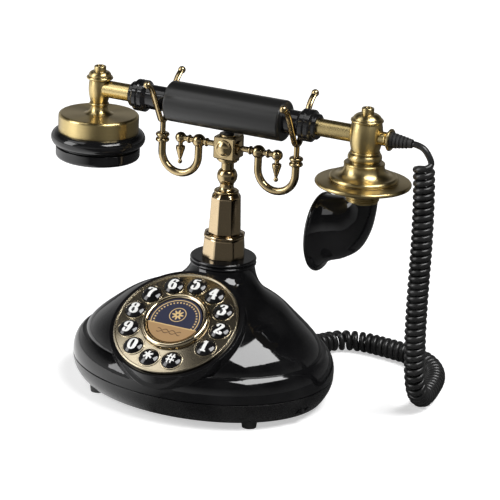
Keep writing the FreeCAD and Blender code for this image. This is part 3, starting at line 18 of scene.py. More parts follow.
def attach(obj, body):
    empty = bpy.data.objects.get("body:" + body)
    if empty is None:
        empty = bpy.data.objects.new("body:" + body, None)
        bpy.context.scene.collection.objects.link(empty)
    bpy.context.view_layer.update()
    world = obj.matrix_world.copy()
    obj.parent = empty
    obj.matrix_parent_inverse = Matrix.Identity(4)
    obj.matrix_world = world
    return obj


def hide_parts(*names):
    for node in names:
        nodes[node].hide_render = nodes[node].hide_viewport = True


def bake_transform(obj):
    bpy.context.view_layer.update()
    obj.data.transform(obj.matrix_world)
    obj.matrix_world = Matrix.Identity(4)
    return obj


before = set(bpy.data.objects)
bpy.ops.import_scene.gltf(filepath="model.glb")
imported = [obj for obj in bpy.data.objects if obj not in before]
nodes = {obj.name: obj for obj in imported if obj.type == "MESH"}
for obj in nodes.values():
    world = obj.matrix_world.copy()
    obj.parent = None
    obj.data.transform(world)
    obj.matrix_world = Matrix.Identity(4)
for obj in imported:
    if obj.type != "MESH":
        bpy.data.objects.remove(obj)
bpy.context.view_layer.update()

MM = 0.001
# The column stands on this line behind the middle, and the handset lies over it.
COLUMN_Y = 27.2
print("pieces in the frame:", len(nodes))

# %% [markdown]
# ## The camera
#
# The telephone is seen from a little to its right and from above, through a long lens, so its
# upright lines stay almost upright. The camera could be aimed by a constraint. Here its three
# axes are worked out from the two angles and a slight roll, because that says exactly where
# it looks.

# %% Place the camera
AZIMUTH, ELEVATION, ROLL = (math.radians(angle) for angle in (25.17, 18.95, 2.95))
CAMERA_PLACE = Vector((0.6702, -1.35711, 0.62129))
LENS_MM, SENSOR_MM = 172.8, 36
NEAREST, FARTHEST = 0.05, 20

camera_back = Vector((
    math.sin(AZIMUTH) * math.cos(ELEVATION),
    -math.cos(AZIMUTH) * math.cos(ELEVATION),
    math.sin(ELEVATION),
))
level_right = Vector((math.cos(AZIMUTH), math.sin(AZIMUTH), 0))
level_up = camera_back.cross(level_right)
camera_right = math.cos(ROLL) * level_right + math.sin(ROLL) * level_up
camera_up = math.cos(ROLL) * level_up - math.sin(ROLL) * level_right

camera = bpy.data.objects.new("camera", bpy.data.cameras.new("camera"))
camera.data.sensor_width = SENSOR_MM
camera.data.lens = LENS_MM
camera.data.clip_start = NEAREST
camera.data.clip_end = FARTHEST
axes = Matrix((camera_right, camera_up, camera_back)).transposed()
camera.matrix_world = Matrix.Translation(CAMERA_PLACE) @ axes.to_4x4()
bpy.context.scene.collection.objects.link(camera)
bpy.context.scene.camera = camera
print("camera", round(CAMERA_PLACE.length, 3), "m from the foot of the telephone")

# %% [markdown]
# ## From an array to a mesh
#
# Every new piece in this lesson is a grid of points: rows along the piece and columns round
# it. One function turns such a grid into a closed mesh. It compares the sign of the enclosed
# volume to turn all faces outwards, so no piece has to think about its winding order.

# %% A grid of points becomes a closed mesh
def grid_faces(rows, columns, start=0, bored=False):
    """Quads between neighbouring rows, with the last column joined to the first. In a bored
    piece the last row joins the first too. Otherwise a many-sided face closes each end."""
    joined = rows if bored else rows - 1
    row, column = np.meshgrid(np.arange(joined), np.arange(columns), indexing="ij")
    following = (column + 1) % columns
    above = (row + 1) % rows
    corners = (row * columns + column, row * columns + following,
               above * columns + following, above * columns + column)
    quads = np.stack([corner.ravel() for corner in corners], 1) + start
    if bored:
        return quads.tolist()
    first = np.arange(columns)[::-1] + start
    last = np.arange(columns) + (rows - 1) * columns + start
    return [*quads.tolist(), first.tolist(), last.tolist()]


def enclosed_volume(grid):
    """Six times the volume inside a tube of points: the sum over its quads of the triple
    product of their corners, measured from the tube's middle."""
    points = grid - grid.mean((0, 1))
    a, b = points[:-1], np.roll(points[:-1], -1, 1)
    c, d = np.roll(points[1:], -1, 1), points[1:]
    return (np.cross(a, b) * c).sum() + (np.cross(a, c) * d).sum()


def make_piece(name, grids, finish=None, bored=False):
    """One object from closed grids of points in millimetres, shaded smooth."""
    points, faces, count = [], [], 0
    for grid in grids:
        grid = grid if enclosed_volume(grid) > 0 else grid[:, ::-1]
        points.append(grid.reshape(-1, 3) * MM)
        faces += grid_faces(*grid.shape[:2], start=count, bored=bored)
        count += grid.shape[0] * grid.shape[1]
    mesh = bpy.data.meshes.new(name)
    mesh.from_pydata(np.concatenate(points).tolist(), [], faces)
    mesh.polygons.foreach_set("use_smooth", np.ones(len(faces), bool))
    mesh.update()
    piece = bpy.data.objects.new(name, mesh)
    bpy.context.scene.collection.objects.link(piece)
    if finish:
        mesh.materials.append(finish)
    return piece


# %% [markdown]
# ## The curly cord
#
# A handset cord is a thin sheathed wire, wound hot on a rod so that it springs back into
# curls. The route below is the line through the middle of those curls: out of the handset,
# down beside the telephone, round on the table and into the socket behind. Blender turns the
# route's points into a smooth NURBS line, and the wire winds round that line.

# %% The line through the middle of the curls
LYING = 7.6
CORD_ROUTE = [
    (131.1, COLUMN_Y, 190), (138.6, COLUMN_Y, 190.4), (139.6, COLUMN_Y, 180),
    (141.5, COLUMN_Y, 160), (142.6, COLUMN_Y, 125), (142.3, COLUMN_Y, 90),
    (142.6, 27.6, 58), (143.5, 31, 24), (142.5, 48, LYING), (140.5, 68, LYING),
    (136, 92, LYING), (124, 111, LYING), (106, 121, LYING), (84, 124.5, LYING),
    (64, 126, LYING), (49, 119.5, LYING), (42, 106, LYING), (38.5, 95, 9),
    (36, 86, 12.5), (36, 75.6, 12.5),
]
ROUTE_ORDER, ROUTE_STEPS = 3, 32

curve = bpy.data.curves.new("cord_route", "CURVE")
curve.dimensions = "3D"
line = curve.splines.new("NURBS")
line.points.add(len(CORD_ROUTE) - 1)
route_points = np.column_stack([np.array(CORD_ROUTE) * MM, np.ones(len(CORD_ROUTE))])
line.points.foreach_set("co", route_points.ravel())
line.order_u = ROUTE_ORDER
line.use_endpoint_u = True
line.resolution_u = ROUTE_STEPS
route_object = bpy.data.objects.new("cord_route", curve)
bpy.context.scene.collection.objects.link(route_object)
route_mesh = bpy.data.meshes.new_from_object(route_object)
route = np.zeros(len(route_mesh.vertices) * 3)
route_mesh.vertices.foreach_get("co", route)
route = route.reshape(-1, 3) / MM
bpy.data.objects.remove(route_object)
bpy.data.meshes.remove(route_mesh)
route_run = np.concatenate([[0], np.cumsum(np.linalg.norm(np.diff(route, axis=0), axis=1))])
print("route", round(route_run[-1], 1), "mm, points", len(route))

# %% [markdown]
# The line is cut into even stations, and its last small kinks are smoothed away. At each station
# stand three directions: along the line, and two across it. They could be carried from station
# to station. Taking the first one across from one fixed direction gives them all at once.

# %% Stations along the line
STATION, SMOOTHED_STATIONS = 0.2, 41
LEAN = np.array([1.0, 1.0, 1.0])


def unit(vectors):
    """Vectors divided by their own lengths."""
    return vectors / np.linalg.norm(vectors, axis=-1, keepdims=True)


def along_route(run, values):
    """Values on the route, read at other distances along it."""
    return np.stack([np.interp(run, route_run, column) for column in values.T], 1)


run = np.arange(0, route_run[-1], STATION)
window = np.hanning(SMOOTHED_STATIONS)
window = window / window.sum()
reach = len(window) // 2
centre = along_route(run, route)
padded = np.concatenate([
    2 * centre[0] - centre[reach:0:-1], centre, 2 * centre[-1] - centre[-2:-reach - 2:-1],
])
centre = np.stack([np.convolve(column, window, "valid") for column in padded.T], 1)
way = unit(np.gradient(centre, run, axis=0))
bend = np.linalg.norm(np.gradient(way, run, axis=0), axis=1)
across = unit(LEAN - (way @ LEAN)[:, None] * way)
other = np.cross(way, across)
print("stations", len(run), "tightest bend of the line", round(1 / bend.max(), 1), "mm")

# %% [markdown]
# The wire leaves the handset straight, swings out to the curls' radius, and only then starts
# to turn. Its turns are closer together on a straight stretch than in a bend, because in a
# bend they crowd on the inner side. All of it is worked out for every station at once.

# %% Wind the wire round the line
WIRE, COIL_RADIUS, PITCH, MOST_OPENED = 4.1, 5.3, 4.6, 0.5
LEAD_IN, SWING_IN = 4.0, 13.0
LEAD_OUT, SWING_OUT = 4.0, 14.0
START_PHASE = math.pi / 4


def ease(value):
    """A smooth step from 0 to 1: three squares less two cubes."""
    value = np.clip(value, 0, 1)
    return value * value * (3 - 2 * value)


left = route_run[-1] - run
swing = ease((run - LEAD_IN) / SWING_IN) * ease((left - LEAD_OUT) / SWING_OUT)
turning = ease((run - LEAD_IN - SWING_IN) / PITCH) * ease((left - LEAD_OUT) / PITCH)
rate = turning * 2 * math.pi / PITCH * (1 - np.clip(COIL_RADIUS * bend, 0, MOST_OPENED))
phase = START_PHASE + np.concatenate([[0], np.cumsum((rate[1:] + rate[:-1]) / 2) * STATION])
outward = np.cos(phase)[:, None] * across + np.sin(phase)[:, None] * other
wire_line = centre + COIL_RADIUS * swing[:, None] * outward
print("curls", round((phase[-1] - START_PHASE) / (2 * math.pi), 1))

# %% [markdown]
# The wire's section is a slight oval, a little longer along the coil than out from it, so that
# the curls nearly touch. It could be a bevel on a Blender curve. As an array, every ring of the
# tube stands square to the wire's line, and its points are spread evenly along that line.

# %% Carry an oval along the wire
WIRE_SPREAD, TURN_STEPS, WIRE_SIDES = 1.08, 22, 12
wire_run = np.concatenate(
    [[0], np.cumsum(np.linalg.norm(np.diff(wire_line, axis=0), axis=1))])
spacing = 2 * math.pi * COIL_RADIUS / TURN_STEPS
even = np.linspace(0, wire_run[-1], int(wire_run[-1] / spacing))
wire_line, outward = (
    np.stack([np.interp(even, wire_run, column) for column in values.T], 1)
    for values in (wire_line, outward)
)
wire_way = unit(np.gradient(wire_line, axis=0))
side = unit(outward - (outward * wire_way).sum(1, keepdims=True) * wire_way)
rise = np.cross(wire_way, side)
turn = np.linspace(0, 2 * math.pi, WIRE_SIDES, endpoint=False)[None, :, None]
wire_grid = wire_line[:, None] + WIRE / 2 * (
    np.cos(turn) * side[:, None] + WIRE_SPREAD * np.sin(turn) * rise[:, None])
cord = make_piece("handset_cord_curls", [wire_grid])
cord_length = float(wire_run[-1])
print("wire", round(cord_length), "mm, lowest", round(float(wire_grid[..., 2].min()), 2))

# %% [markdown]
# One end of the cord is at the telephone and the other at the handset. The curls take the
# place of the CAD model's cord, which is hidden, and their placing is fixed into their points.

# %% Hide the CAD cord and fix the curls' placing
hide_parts("handset_cord")
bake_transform(cord)
print(cord.name, "has", len(cord.data.vertices), "points")

# %% [markdown]
# ## The studio
#
# The telephone stands on pale paper. Glossy black shows almost nothing but what it mirrors, so
# the room matters: bright paper below and around, a dim ceiling, and soft lamps. The paper
# looks white to the camera, and it still takes the telephone's shadow. In the metal it shows
# a painted reflection: brighter towards one side and dim on the other.

# %% A bench for nodes
class Bench:
    """A node tree being filled, with short ways to add nodes and to join them."""

    def __init__(self, tree):
        self.tree = tree

    def join(self, socket, value):
        """Feeds an input from another socket, or sets its own value."""
        if isinstance(value, bpy.types.NodeSocket):
            self.tree.links.new(value, socket)
        else:
            socket.default_value = value

    def add(self, kind, settings=None, **inputs):
        """A node with its settings, and its inputs by name."""
        node = self.tree.nodes.new(kind)
        for key, value in (settings or {}).items():
            setattr(node, key, value)
        for key, value in inputs.items():
            self.join(node.inputs[key.replace("_", " ")], value)
        return node

    def math(self, operation, *values):
        """One step of arithmetic on numbers or sockets."""
        node = self.add("ShaderNodeMath", {"operation": operation})
        for socket, value in zip(node.inputs, values):
            self.join(socket, value)
        return node.outputs[0]

    def vector_math(self, operation, *values, output="Value"):
        """One step of arithmetic on vectors."""
        node = self.add("ShaderNodeVectorMath", {"operation": operation})
        for socket, value in zip(node.inputs, values):
            self.join(socket, value)
        return node.outputs[output]

    def distance(self, x, y):
        """The distance of a place from the origin of x and y."""
        return self.math("SQRT", self.math("MULTIPLY_ADD", x, x, self.math("MULTIPLY", y, y)))

    def spread(self, value, low, high, to_low=0.0, to_high=1.0):
        """A value carried from one span to another, and held at its ends."""
        return self.add("ShaderNodeMapRange", Value=value, From_Min=low, From_Max=high,
                        To_Min=to_low, To_Max=to_high).outputs[0]

    def band(self, value, middle, half, soft):
        """1 within half of the middle, 0 outside it, with a soft edge."""
        gap = self.math("ABSOLUTE", self.math("SUBTRACT", value, middle))
        return self.spread(gap, half - soft, half + soft, 1, 0)

    def mix(self, share, first, second):
        """Two colours mixed by a share."""
        node = self.add("ShaderNodeMix", {"data_type": "RGBA"})
        for index, value in ((0, share), (6, first), (7, second)):
            self.join(node.inputs[index], value)
        return node.outputs[2]

    def noise(self, vector, scale, detail=2.0):
        """Smooth noise from 0 to 1."""
        return self.add("ShaderNodeTexNoise", Vector=vector, Scale=scale,
                        Detail=detail).outputs["Fac"]


# %% A sheet of paper
FLOOR_HALF = 12
scene = bpy.context.scene
scene.view_settings.view_transform = "Standard"

floor_mesh = bpy.data.meshes.new("floor")
corner_x, corner_y = np.array([-1, 1, 1, -1]), np.array([-1, -1, 1, 1])
floor_points = np.column_stack([corner_x, corner_y, np.zeros(4)]) * FLOOR_HALF
floor_mesh.from_pydata(floor_points.tolist(), [], [[0, 1, 2, 3]])
floor = bpy.data.objects.new("floor", floor_mesh)
scene.collection.objects.link(floor)
print("floor", 2 * FLOOR_HALF, "m wide")

# %% The paper's white, and its painted reflection
FLOOR_GLOW, PAINTED_FLOOR_SHEEN, PAPER_WHITE, PAPER_ROUGH = 0.5, 0.75, 0.86, 0.9
GLOW_GROWS = (0.3, 1.5)
BRIGHT_SIDE, DIM_SIDE = (-0.94, -0.34, 0.0), 0.06
SIDE_GROWS = (0.4, 0.95)
WHITE, BLACK = (1, 1, 1, 1), (0, 0, 0, 1)

paper = bpy.data.materials.new("floor_paper")
paper.use_nodes = True
bench = Bench(paper.node_tree)
shader = paper.node_tree.nodes["Principled BSDF"].inputs
rays = bench.add("ShaderNodeLightPath").outputs
spot = bench.add("ShaderNodeTexCoord").outputs["Object"]
away = bench.vector_math("LENGTH", spot)
ahead = bench.vector_math("NORMALIZE", spot, output="Vector")
# Painted reflection: as the metal mirrors it, the paper is coloured and made to glow brighter
# towards the bright side and dim on the other side.
to_bright = bench.vector_math("DOT_PRODUCT", ahead, BRIGHT_SIDE)
painted_reflection_side = bench.spread(to_bright, *SIDE_GROWS, DIM_SIDE, 1.0)
mirrored = bench.mix(rays["Is Glossy Ray"], WHITE, painted_reflection_side)
glow = bench.math("MULTIPLY", rays["Is Camera Ray"],
                  bench.spread(away, *GLOW_GROWS, FLOOR_GLOW, 1.0))
glow = bench.math("ADD", glow, bench.math("MULTIPLY", rays["Is Glossy Ray"],
                                          bench.math("MULTIPLY", painted_reflection_side, PAINTED_FLOOR_SHEEN)))
bench.join(shader["Base Color"], bench.mix(1.0 - PAPER_WHITE, mirrored, BLACK))
bench.join(shader["Roughness"], PAPER_ROUGH)
bench.join(shader["Specular IOR Level"], 0.0)
bench.join(shader["Emission Color"], WHITE)
bench.join(shader["Emission Strength"], glow)
floor_mesh.materials.append(paper)
print("paper nodes", len(paper.node_tree.nodes))

# %% The room's light
ROOM_LIGHT = 0.6
CEILING_GROWS, CEILING_SHARE = (0.1, 0.5), 0.06
WALL_GROWS, WALL_SHARE = (-0.5, 0.6), 0.35
studio = bpy.data.worlds.new("studio")
studio.use_nodes = True
scene.world = studio
studio.node_tree.nodes.clear()
bench = Bench(studio.node_tree)
rays = bench.add("ShaderNodeLightPath").outputs
gaze = bench.add("ShaderNodeTexCoord").outputs["Generated"]
way_up = bench.add("ShaderNodeSeparateXYZ", Vector=gaze).outputs["Z"]
to_bright = bench.vector_math("DOT_PRODUCT", gaze, BRIGHT_SIDE)
wall = bench.math("MULTIPLY", bench.spread(way_up, *CEILING_GROWS, 1.0, CEILING_SHARE),
                  bench.spread(to_bright, *WALL_GROWS, WALL_SHARE, 1.0))
room = bench.add("ShaderNodeBackground", Color=wall, Strength=ROOM_LIGHT)
backdrop = bench.add("ShaderNodeBackground", Color=WHITE, Strength=1.0)
seen = bench.add("ShaderNodeMixShader")
bench.join(seen.inputs[0], bench.math("MAXIMUM", rays["Is Camera Ray"],
                                      rays["Is Transmission Ray"]))
bench.join(seen.inputs[1], room.outputs[0])
bench.join(seen.inputs[2], backdrop.outputs[0])
bench.join(bench.add("ShaderNodeOutputWorld").inputs["Surface"], seen.outputs[0])
print("room light", ROOM_LIGHT)


# %% Soft lamps
def soft_lamp(name, place, aim, width, height, power):
    """A rectangle of light at a place, facing the point that it is aimed at."""
    lamp = bpy.data.lights.new(name, "AREA")
    lamp.shape = "RECTANGLE"
    lamp.size = width
    lamp.size_y = height
    lamp.energy = power
    item = bpy.data.objects.new(name, lamp)
    item.location = place
    item.rotation_mode = "QUATERNION"
    item.rotation_quaternion = (Vector(aim) - Vector(place)).to_track_quat("-Z", "Y")
    scene.collection.objects.link(item)


MIDDLE = (0.0, 0.02, 0.1)
soft_lamp("left_softbox", (-1.1, -0.9, 0.75), MIDDLE, 0.7, 1.0, 12)
soft_lamp("top_softbox", (-0.91, -0.5, 1.5), (-0.91, -0.499, 0.0), 0.98, 0.8, 4)
soft_lamp("right_softbox", (0.75, -0.15, 1.3), MIDDLE, 1.0, 0.55, 20)
print("lamps", len(bpy.data.lights))

# %% [markdown]
# ## Effects that several finishes share
#
# Brass is given painted shade in its hollows and is rubbed bright on its edges, a piece turned on
# a lathe carries fine rings, and handling leaves smudges and a fine grain. Each of these effects
# is a
# node group, made once and placed in each finish with its own values. A hollow is found by how
# much of the sky a spot can see, and an edge by how far a rounded normal leans away from the
# true one.

# %% A node group for painted shade in hollows, and for edges
NUMBER, VECTOR = "NodeSocketFloat", "NodeSocketVector"
SKY_SAMPLES, ROUND_SAMPLES = 6, 5
CLOUD_SCALE, CLOUD_SHARE = 0.35, 0.3
HOLLOW_GROWS, EDGE_GROWS = (0.3, 0.95), (0.99, 0.85)


def new_group(name, inputs, outputs):
    """An empty node group with named sockets, and the two ends of its tree."""
    tree = bpy.data.node_groups.new(name, "ShaderNodeTree")
    for label, kind in inputs.items():
        tree.interface.new_socket(label, in_out="INPUT", socket_type=kind)
    for label, kind in outputs.items():
        tree.interface.new_socket(label, in_out="OUTPUT", socket_type=kind)
    start = tree.nodes.new("NodeGroupInput").outputs
    return Bench(tree), start, tree.nodes.new("NodeGroupOutput").inputs


bench, start, end = new_group(
    "shade_and_wear", {"Vector": VECTOR, "Reach": NUMBER, "Round": NUMBER},
    {"Hollow Shade": NUMBER, "Edge": NUMBER, "Normal": VECTOR})
sky = bench.add("ShaderNodeAmbientOcclusion", {"samples": SKY_SAMPLES}, Distance=start["Reach"])
cloud = bench.noise(start["Vector"], CLOUD_SCALE, 3.0)
# Painted shade: the less sky a spot sees, the darker the mask makes it, mottled by noise.
shade = bench.math("SUBTRACT", 1.0, sky.outputs["AO"])
bench.join(end["Hollow Shade"], bench.spread(
    bench.math("MULTIPLY_ADD", cloud, CLOUD_SHARE, shade), *HOLLOW_GROWS))
rounded = bench.add(
    "ShaderNodeBevel", {"samples": ROUND_SAMPLES}, Radius=start["Round"]).outputs[0]
true_normal = bench.add("ShaderNodeNewGeometry").outputs["Normal"]
lean = bench.vector_math("DOT_PRODUCT", rounded, true_normal)
bench.join(end["Edge"], bench.spread(lean, *EDGE_GROWS))
bench.join(end["Normal"], rounded)
print(bench.tree.name, "has", len(bench.tree.nodes), "nodes")

# %% A node group for lathe rings
TURN_DRIFT = 1.5
bench, start, end = new_group(
    "lathe_rings", {"Vector": VECTOR, "Fineness": NUMBER}, {"Rings": NUMBER, "Radius": NUMBER})
parts = bench.add("ShaderNodeSeparateXYZ", Vector=start["Vector"]).outputs
radius = bench.distance(parts["X"], parts["Y"])
angle = bench.math("ARCTAN2", parts["Y"], parts["X"])
rings = bench.add("ShaderNodeCombineXYZ", X=bench.math("MULTIPLY", radius, start["Fineness"]),
                  Y=bench.math("MULTIPLY", angle, TURN_DRIFT),
                  Z=bench.math("MULTIPLY", parts["Z"], start["Fineness"])).outputs[0]
bench.join(end["Rings"], bench.noise(rings, 1.0, 2.0))
bench.join(end["Radius"], radius)
print(bench.tree.name, "has", len(bench.tree.nodes), "nodes")

# %% A node group for handling
SMUDGE_SCALE, SMUDGE_GROWS, GRAIN_SCALE = 0.045, (0.4, 0.7), 2.2
bench, start, end = new_group(
    "handling", {"Vector": VECTOR}, {"Smudge": NUMBER, "Grain": NUMBER})
bench.join(end["Smudge"], bench.spread(
    bench.noise(start["Vector"], SMUDGE_SCALE, 3.0), *SMUDGE_GROWS))
bench.join(end["Grain"], bench.noise(start["Vector"], GRAIN_SCALE, 2.0))
print("groups", sorted(group.name for group in bpy.data.node_groups))


# %% [markdown]
# A finish starts from a Principled shader. The pattern's own frame comes from a Mapping node:
# it moves the pattern to the axis that the piece was turned on, and measures in millimetres.

# %% Start a finish, and dress pieces in it
HOLLOW_REACH = 0.004


def grey(value):
    """A colour without a hue."""
    return (value, value, value, 1)


class Finish(Bench):
    """A material in the making."""

    def __init__(self, name, centre=(0, 0, 0), tilt=(0, 0, 0), **values):
        self.material = bpy.data.materials.new(name)
        self.material.use_nodes = True
        super().__init__(self.material.node_tree)
        self.shader = self.tree.nodes["Principled BSDF"].inputs
        for key, value in values.items():
            self.join(self.shader[key.replace("_", " ")], value)
        spot = self.add("ShaderNodeTexCoord").outputs["Object"]
        self.vector = self.add(
            "ShaderNodeMapping", {"vector_type": "TEXTURE"}, Vector=spot,
            Location=tuple(MM * value for value in centre),
            Rotation=tuple(math.radians(value) for value in tilt),
            Scale=(MM, MM, MM)).outputs[0]

    def group(self, name, **inputs):
        """A shared effect with this finish's own values."""
        node = self.tree.nodes.new("ShaderNodeGroup")
        node.node_tree = bpy.data.node_groups[name]
        for key, value in inputs.items():
            self.join(node.inputs[key], value)
        return node.outputs

    def rough(self, low, high, share):
        """Roughness between two values."""
        self.join(self.shader["Roughness"], self.spread(share, 0, 1, low, high))

    def eased(self, radius):
        """The normal of edges rounded by a radius in metres."""
        return self.group("shade_and_wear", Vector=self.vector, Reach=HOLLOW_REACH, Round=radius)["Normal"]

    def bump(self, height, depth, normal=None):
        """Fine relief, its full height in millimetres."""
        node = self.add("ShaderNodeBump", Height=height, Strength=1.0, Distance=depth * MM)
        if normal:
            self.join(node.inputs["Normal"], normal)
        self.join(self.shader["Normal"], node.outputs[0])


dressed = set()


def dress(finish, *names):
    """Gives CAD pieces a finish, in place of the plain one that they came with."""
    for name in names:
        slots = nodes[name].data.materials
        slots.clear()
        slots.append(finish.material)
        dressed.add(name)


# %% [markdown]
# ## Black pieces
#
# The shell, keys, horn, ear cap and ferrules are moulded in a deep gloss black. All but the horn
# have a faint waviness, which softens the edges of a reflection. It could be in the mesh, but a
# bump costs no points and is fine enough.

# %% Gloss black
SHELL_BLACK = (0.0045, 0.0045, 0.005, 1)
DUSTED_BLACK = (0.010, 0.010, 0.0105, 1)
PLASTIC_IOR, MOULD_EDGE = 1.5, 0.0004
WAVE_SCALE, WAVE_DEPTH = 0.12, 0.02


def gloss_black(name, low=0.045, high=0.09, wavy=True):
    """Polished black plastic: hand marks change its roughness. A wavy piece has a faint
    waviness and eased edges."""
    finish = Finish(name, IOR=PLASTIC_IOR)
    marks = finish.group("handling", Vector=finish.vector)
    finish.join(finish.shader["Base Color"],
                finish.mix(marks["Smudge"], SHELL_BLACK, DUSTED_BLACK))
    finish.rough(low, high, marks["Smudge"])
    if wavy:
        wave = finish.noise(finish.vector, WAVE_SCALE, 1.0)
        finish.bump(wave, WAVE_DEPTH, finish.eased(MOULD_EDGE))
    return finish


dress(gloss_black("shell_gloss"), "upper_shell")
dress(gloss_black("cap_gloss"), "ear_cap", "left_ferrule", "right_ferrule")
key_gloss = gloss_black("key_gloss", 0.05, 0.1)
dress(key_gloss, *[name for name in nodes if name.startswith("key_") and name != "key_mat"])
print("in gloss black:", len(dressed))

# %% [markdown]
# The horn's two mould halves leave a fine raised line along its middle. It could be a thin
# ridge of its own. A bump is enough, because the line stands out by only a tenth of a
# millimetre.

# %% Horn with its parting line
LINE_HALF, LINE_SOFT, LINE_RISE = 0.16, 0.1, 0.12
horn = gloss_black("horn_gloss", wavy=False)
across_horn = horn.add("ShaderNodeSeparateXYZ", Vector=horn.vector).outputs["Y"]
parting = horn.band(across_horn, COLUMN_Y, LINE_HALF, LINE_SOFT)
horn.bump(parting, LINE_RISE)
print("parting line", 2 * LINE_HALF, "mm wide")

# %% [markdown]
# The horn is blown in one piece: a tube that swells all along its bend and ends in a thin
# rolled lip. It could be lofted from rings by hand. As an array it is one sweep: each row is a
# ring square to the bend, and the rows go down the outside, round the lip and back up inside.
# The bend's two lines run smoothly through a few points each.

# %% A smooth line through points
BEND_STEPS = 8


def through(points, steps):
    """A smooth line through points: each stretch is a cubic whose slope at a point is half the
    way from the point before to the point after."""
    points = np.array(points, float)
    before, after = 2 * points[:1] - points[1:2], 2 * points[-1:] - points[-2:-1]
    held = np.concatenate([before, points, after])
    if np.allclose(points[0], points[-1]):
        held[0], held[-1] = points[-2], points[1]
    share = np.linspace(0, len(points) - 1, steps * (len(points) - 1) + 1)
    first = np.minimum(share.astype(int), len(points) - 2)
    t = (share - first)[:, None]
    a, b, c, d = (held[first + k] for k in range(4))
    return b + t * (c - a) / 2 + t ** 2 * (a - 2.5 * b + 2 * c - d / 2) + t ** 3 * (
        1.5 * b - a / 2 - 1.5 * c + d / 2)


# %% Sweep the horn
HORN_SIDES, WALL = 72, 2.0
OUTER_BEND = [(109.2, 147.4), (108.2, 137.0), (105.2, 124.0), (99.0, 111.9), (89.3, 104.8),
              (80.5, 101.4), (75.4, 97.8), (73.0, 93.6)]
INNER_BEND = [(88.0, 147.4), (86.8, 146.9), (85.0, 146.4), (82.6, 145.9), (79.6, 145.5),
              (76.6, 145.2), (73.8, 145.0), (71.4, 145.0)]
LIP_ROUND, LIP_SUNK, LIP_ROWS = 1.3, 0.5, 16


def horn_rings(outer, inner, inset):
    """Rings that stand on two bend lines: each ring's centre is midway between a point of one
    line and its fellow on the other, its radius is half their distance less the inset, and it
    turns from that way out to the level way across."""
    span = np.insert(outer - inner, 1, 0, axis=1)
    middle = np.insert((outer + inner) / 2, 1, COLUMN_Y, axis=1)
    out = unit(span)
    radius = np.linalg.norm(span, axis=1) / 2 - inset
    round_horn = np.linspace(0, 2 * math.pi, HORN_SIDES, endpoint=False)[None, :, None]
    return middle[:, None] + radius[:, None, None] * (
        np.cos(round_horn) * out[:, None] + np.sin(round_horn) * np.array([0.0, 1.0, 0.0]))


outer, inner = through(OUTER_BEND, BEND_STEPS), through(INNER_BEND, BEND_STEPS)
roll = np.linspace(0, math.pi, LIP_ROWS)
lip_ahead = np.stack([-LIP_ROUND * (1 - np.cos(roll)), np.zeros_like(roll)], 1)
lip_inset = LIP_SUNK - LIP_ROUND * np.sin(roll)
down = np.concatenate([outer, outer[-1] + lip_ahead, outer[::-1]])
along = np.concatenate([inner, inner[-1] + lip_ahead, inner[::-1]])
inset = np.concatenate([np.zeros(len(outer)), lip_inset, np.full(len(outer), WALL)])
horn_bell = make_piece("horn_bell", [horn_rings(down, along, inset)], horn.material)
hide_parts("horn")
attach(horn_bell, "handset")
print("horn", len(horn_bell.data.vertices), "points")

# %% [markdown]
# The pan, the rubber, the cord's sheath and most pieces inside are plain dull surfaces. Each
# could be a material of its own. One function makes them all from two tones, a span of roughness
# and the depth of the grain, because only these differ.

# %% Dull pan, rubber and sheath
def plain(name, tones, roughness, relief, by="Smudge", edge=None, **values):
    """A plain surface: hand marks or grain mix its two tones, and the grain is in its roughness
    and its relief. Its edges may be eased."""
    finish = Finish(name, **values)
    marks = finish.group("handling", Vector=finish.vector)
    finish.join(finish.shader["Base Color"], finish.mix(marks[by], *tones))
    finish.rough(*roughness, marks["Grain"])
    finish.bump(marks["Grain"], relief, finish.eased(edge) if edge else None)
    return finish


dress(plain("pan_satin", (SHELL_BLACK, grey(0.014)), (0.22, 0.32), 0.015, edge=MOULD_EDGE,
            IOR=PLASTIC_IOR), "base_pan", "ringer_slider")
dress(plain("foot_rubber", (grey(0.010), (0.028, 0.028, 0.027, 1)), (0.5, 0.75), 0.03, "Grain",
            IOR=PLASTIC_IOR), "rubber_feet", "key_mat", "strain_relief")
sheath = plain("cord_sheath", (grey(0.008), grey(0.018)), (0.26, 0.38), 0.012, IOR=PLASTIC_IOR)
cord.data.materials.append(sheath.material)
print("gloss and dull black pieces", len(dressed))

# %% [markdown]
# Fine lines run along the grip, so its highlight is a long soft streak. They could be scratches
# in a picture. Here a noise is squeezed round the grip's axis and stretched along it.

# %% Grip with its lengthwise drag
GRIP_AXIS, ALONG_X = (0, COLUMN_Y, 190), (0, 90, 0)
GRIP_EDGE, DRAG_ROUND, DRAG_ALONG, DRAG_DEPTH = 0.0005, 60.0, 0.05, 0.012
grip = Finish("grip_drag", GRIP_AXIS, ALONG_X, IOR=PLASTIC_IOR)
parts = grip.add("ShaderNodeSeparateXYZ", Vector=grip.vector).outputs
angle = grip.math("ARCTAN2", parts["Y"], parts["X"])
drawn = grip.add("ShaderNodeCombineXYZ", X=grip.math("MULTIPLY", angle, DRAG_ROUND),
                 Z=grip.math("MULTIPLY", parts["Z"], DRAG_ALONG)).outputs[0]
drag = grip.noise(drawn, 1.0, 3.0)
grip.join(grip.shader["Base Color"], grip.mix(drag, grey(0.006), (0.014, 0.014, 0.0135, 1)))
grip.rough(0.26, 0.36, drag)
grip.bump(drag, DRAG_DEPTH, grip.eased(GRIP_EDGE))
dress(grip, "grip")
print("black pieces", len(dressed))

# %% [markdown]
# ## Brass pieces
#
# The handset's metal is yellow satin brass, turned and brushed round. The column and cradle
# are a darker, browner brass. All of it gets painted shade in its hollows. One function makes
# both, because the recipe is the same: a clean colour, a dark colour for rings and for the
# painted shade in hollows, a bright one for edges, and rings about the piece's own axis.

# %% A brass finish
FACES = 8
FACE_HALF = math.pi / FACES
RING_GROWS, RING_SHADE, RING_ROUGH = (0.3, 0.7), 0.2, 0.15
BRASS_EDGE, SPUN_TURN = 0.0003, 0.25


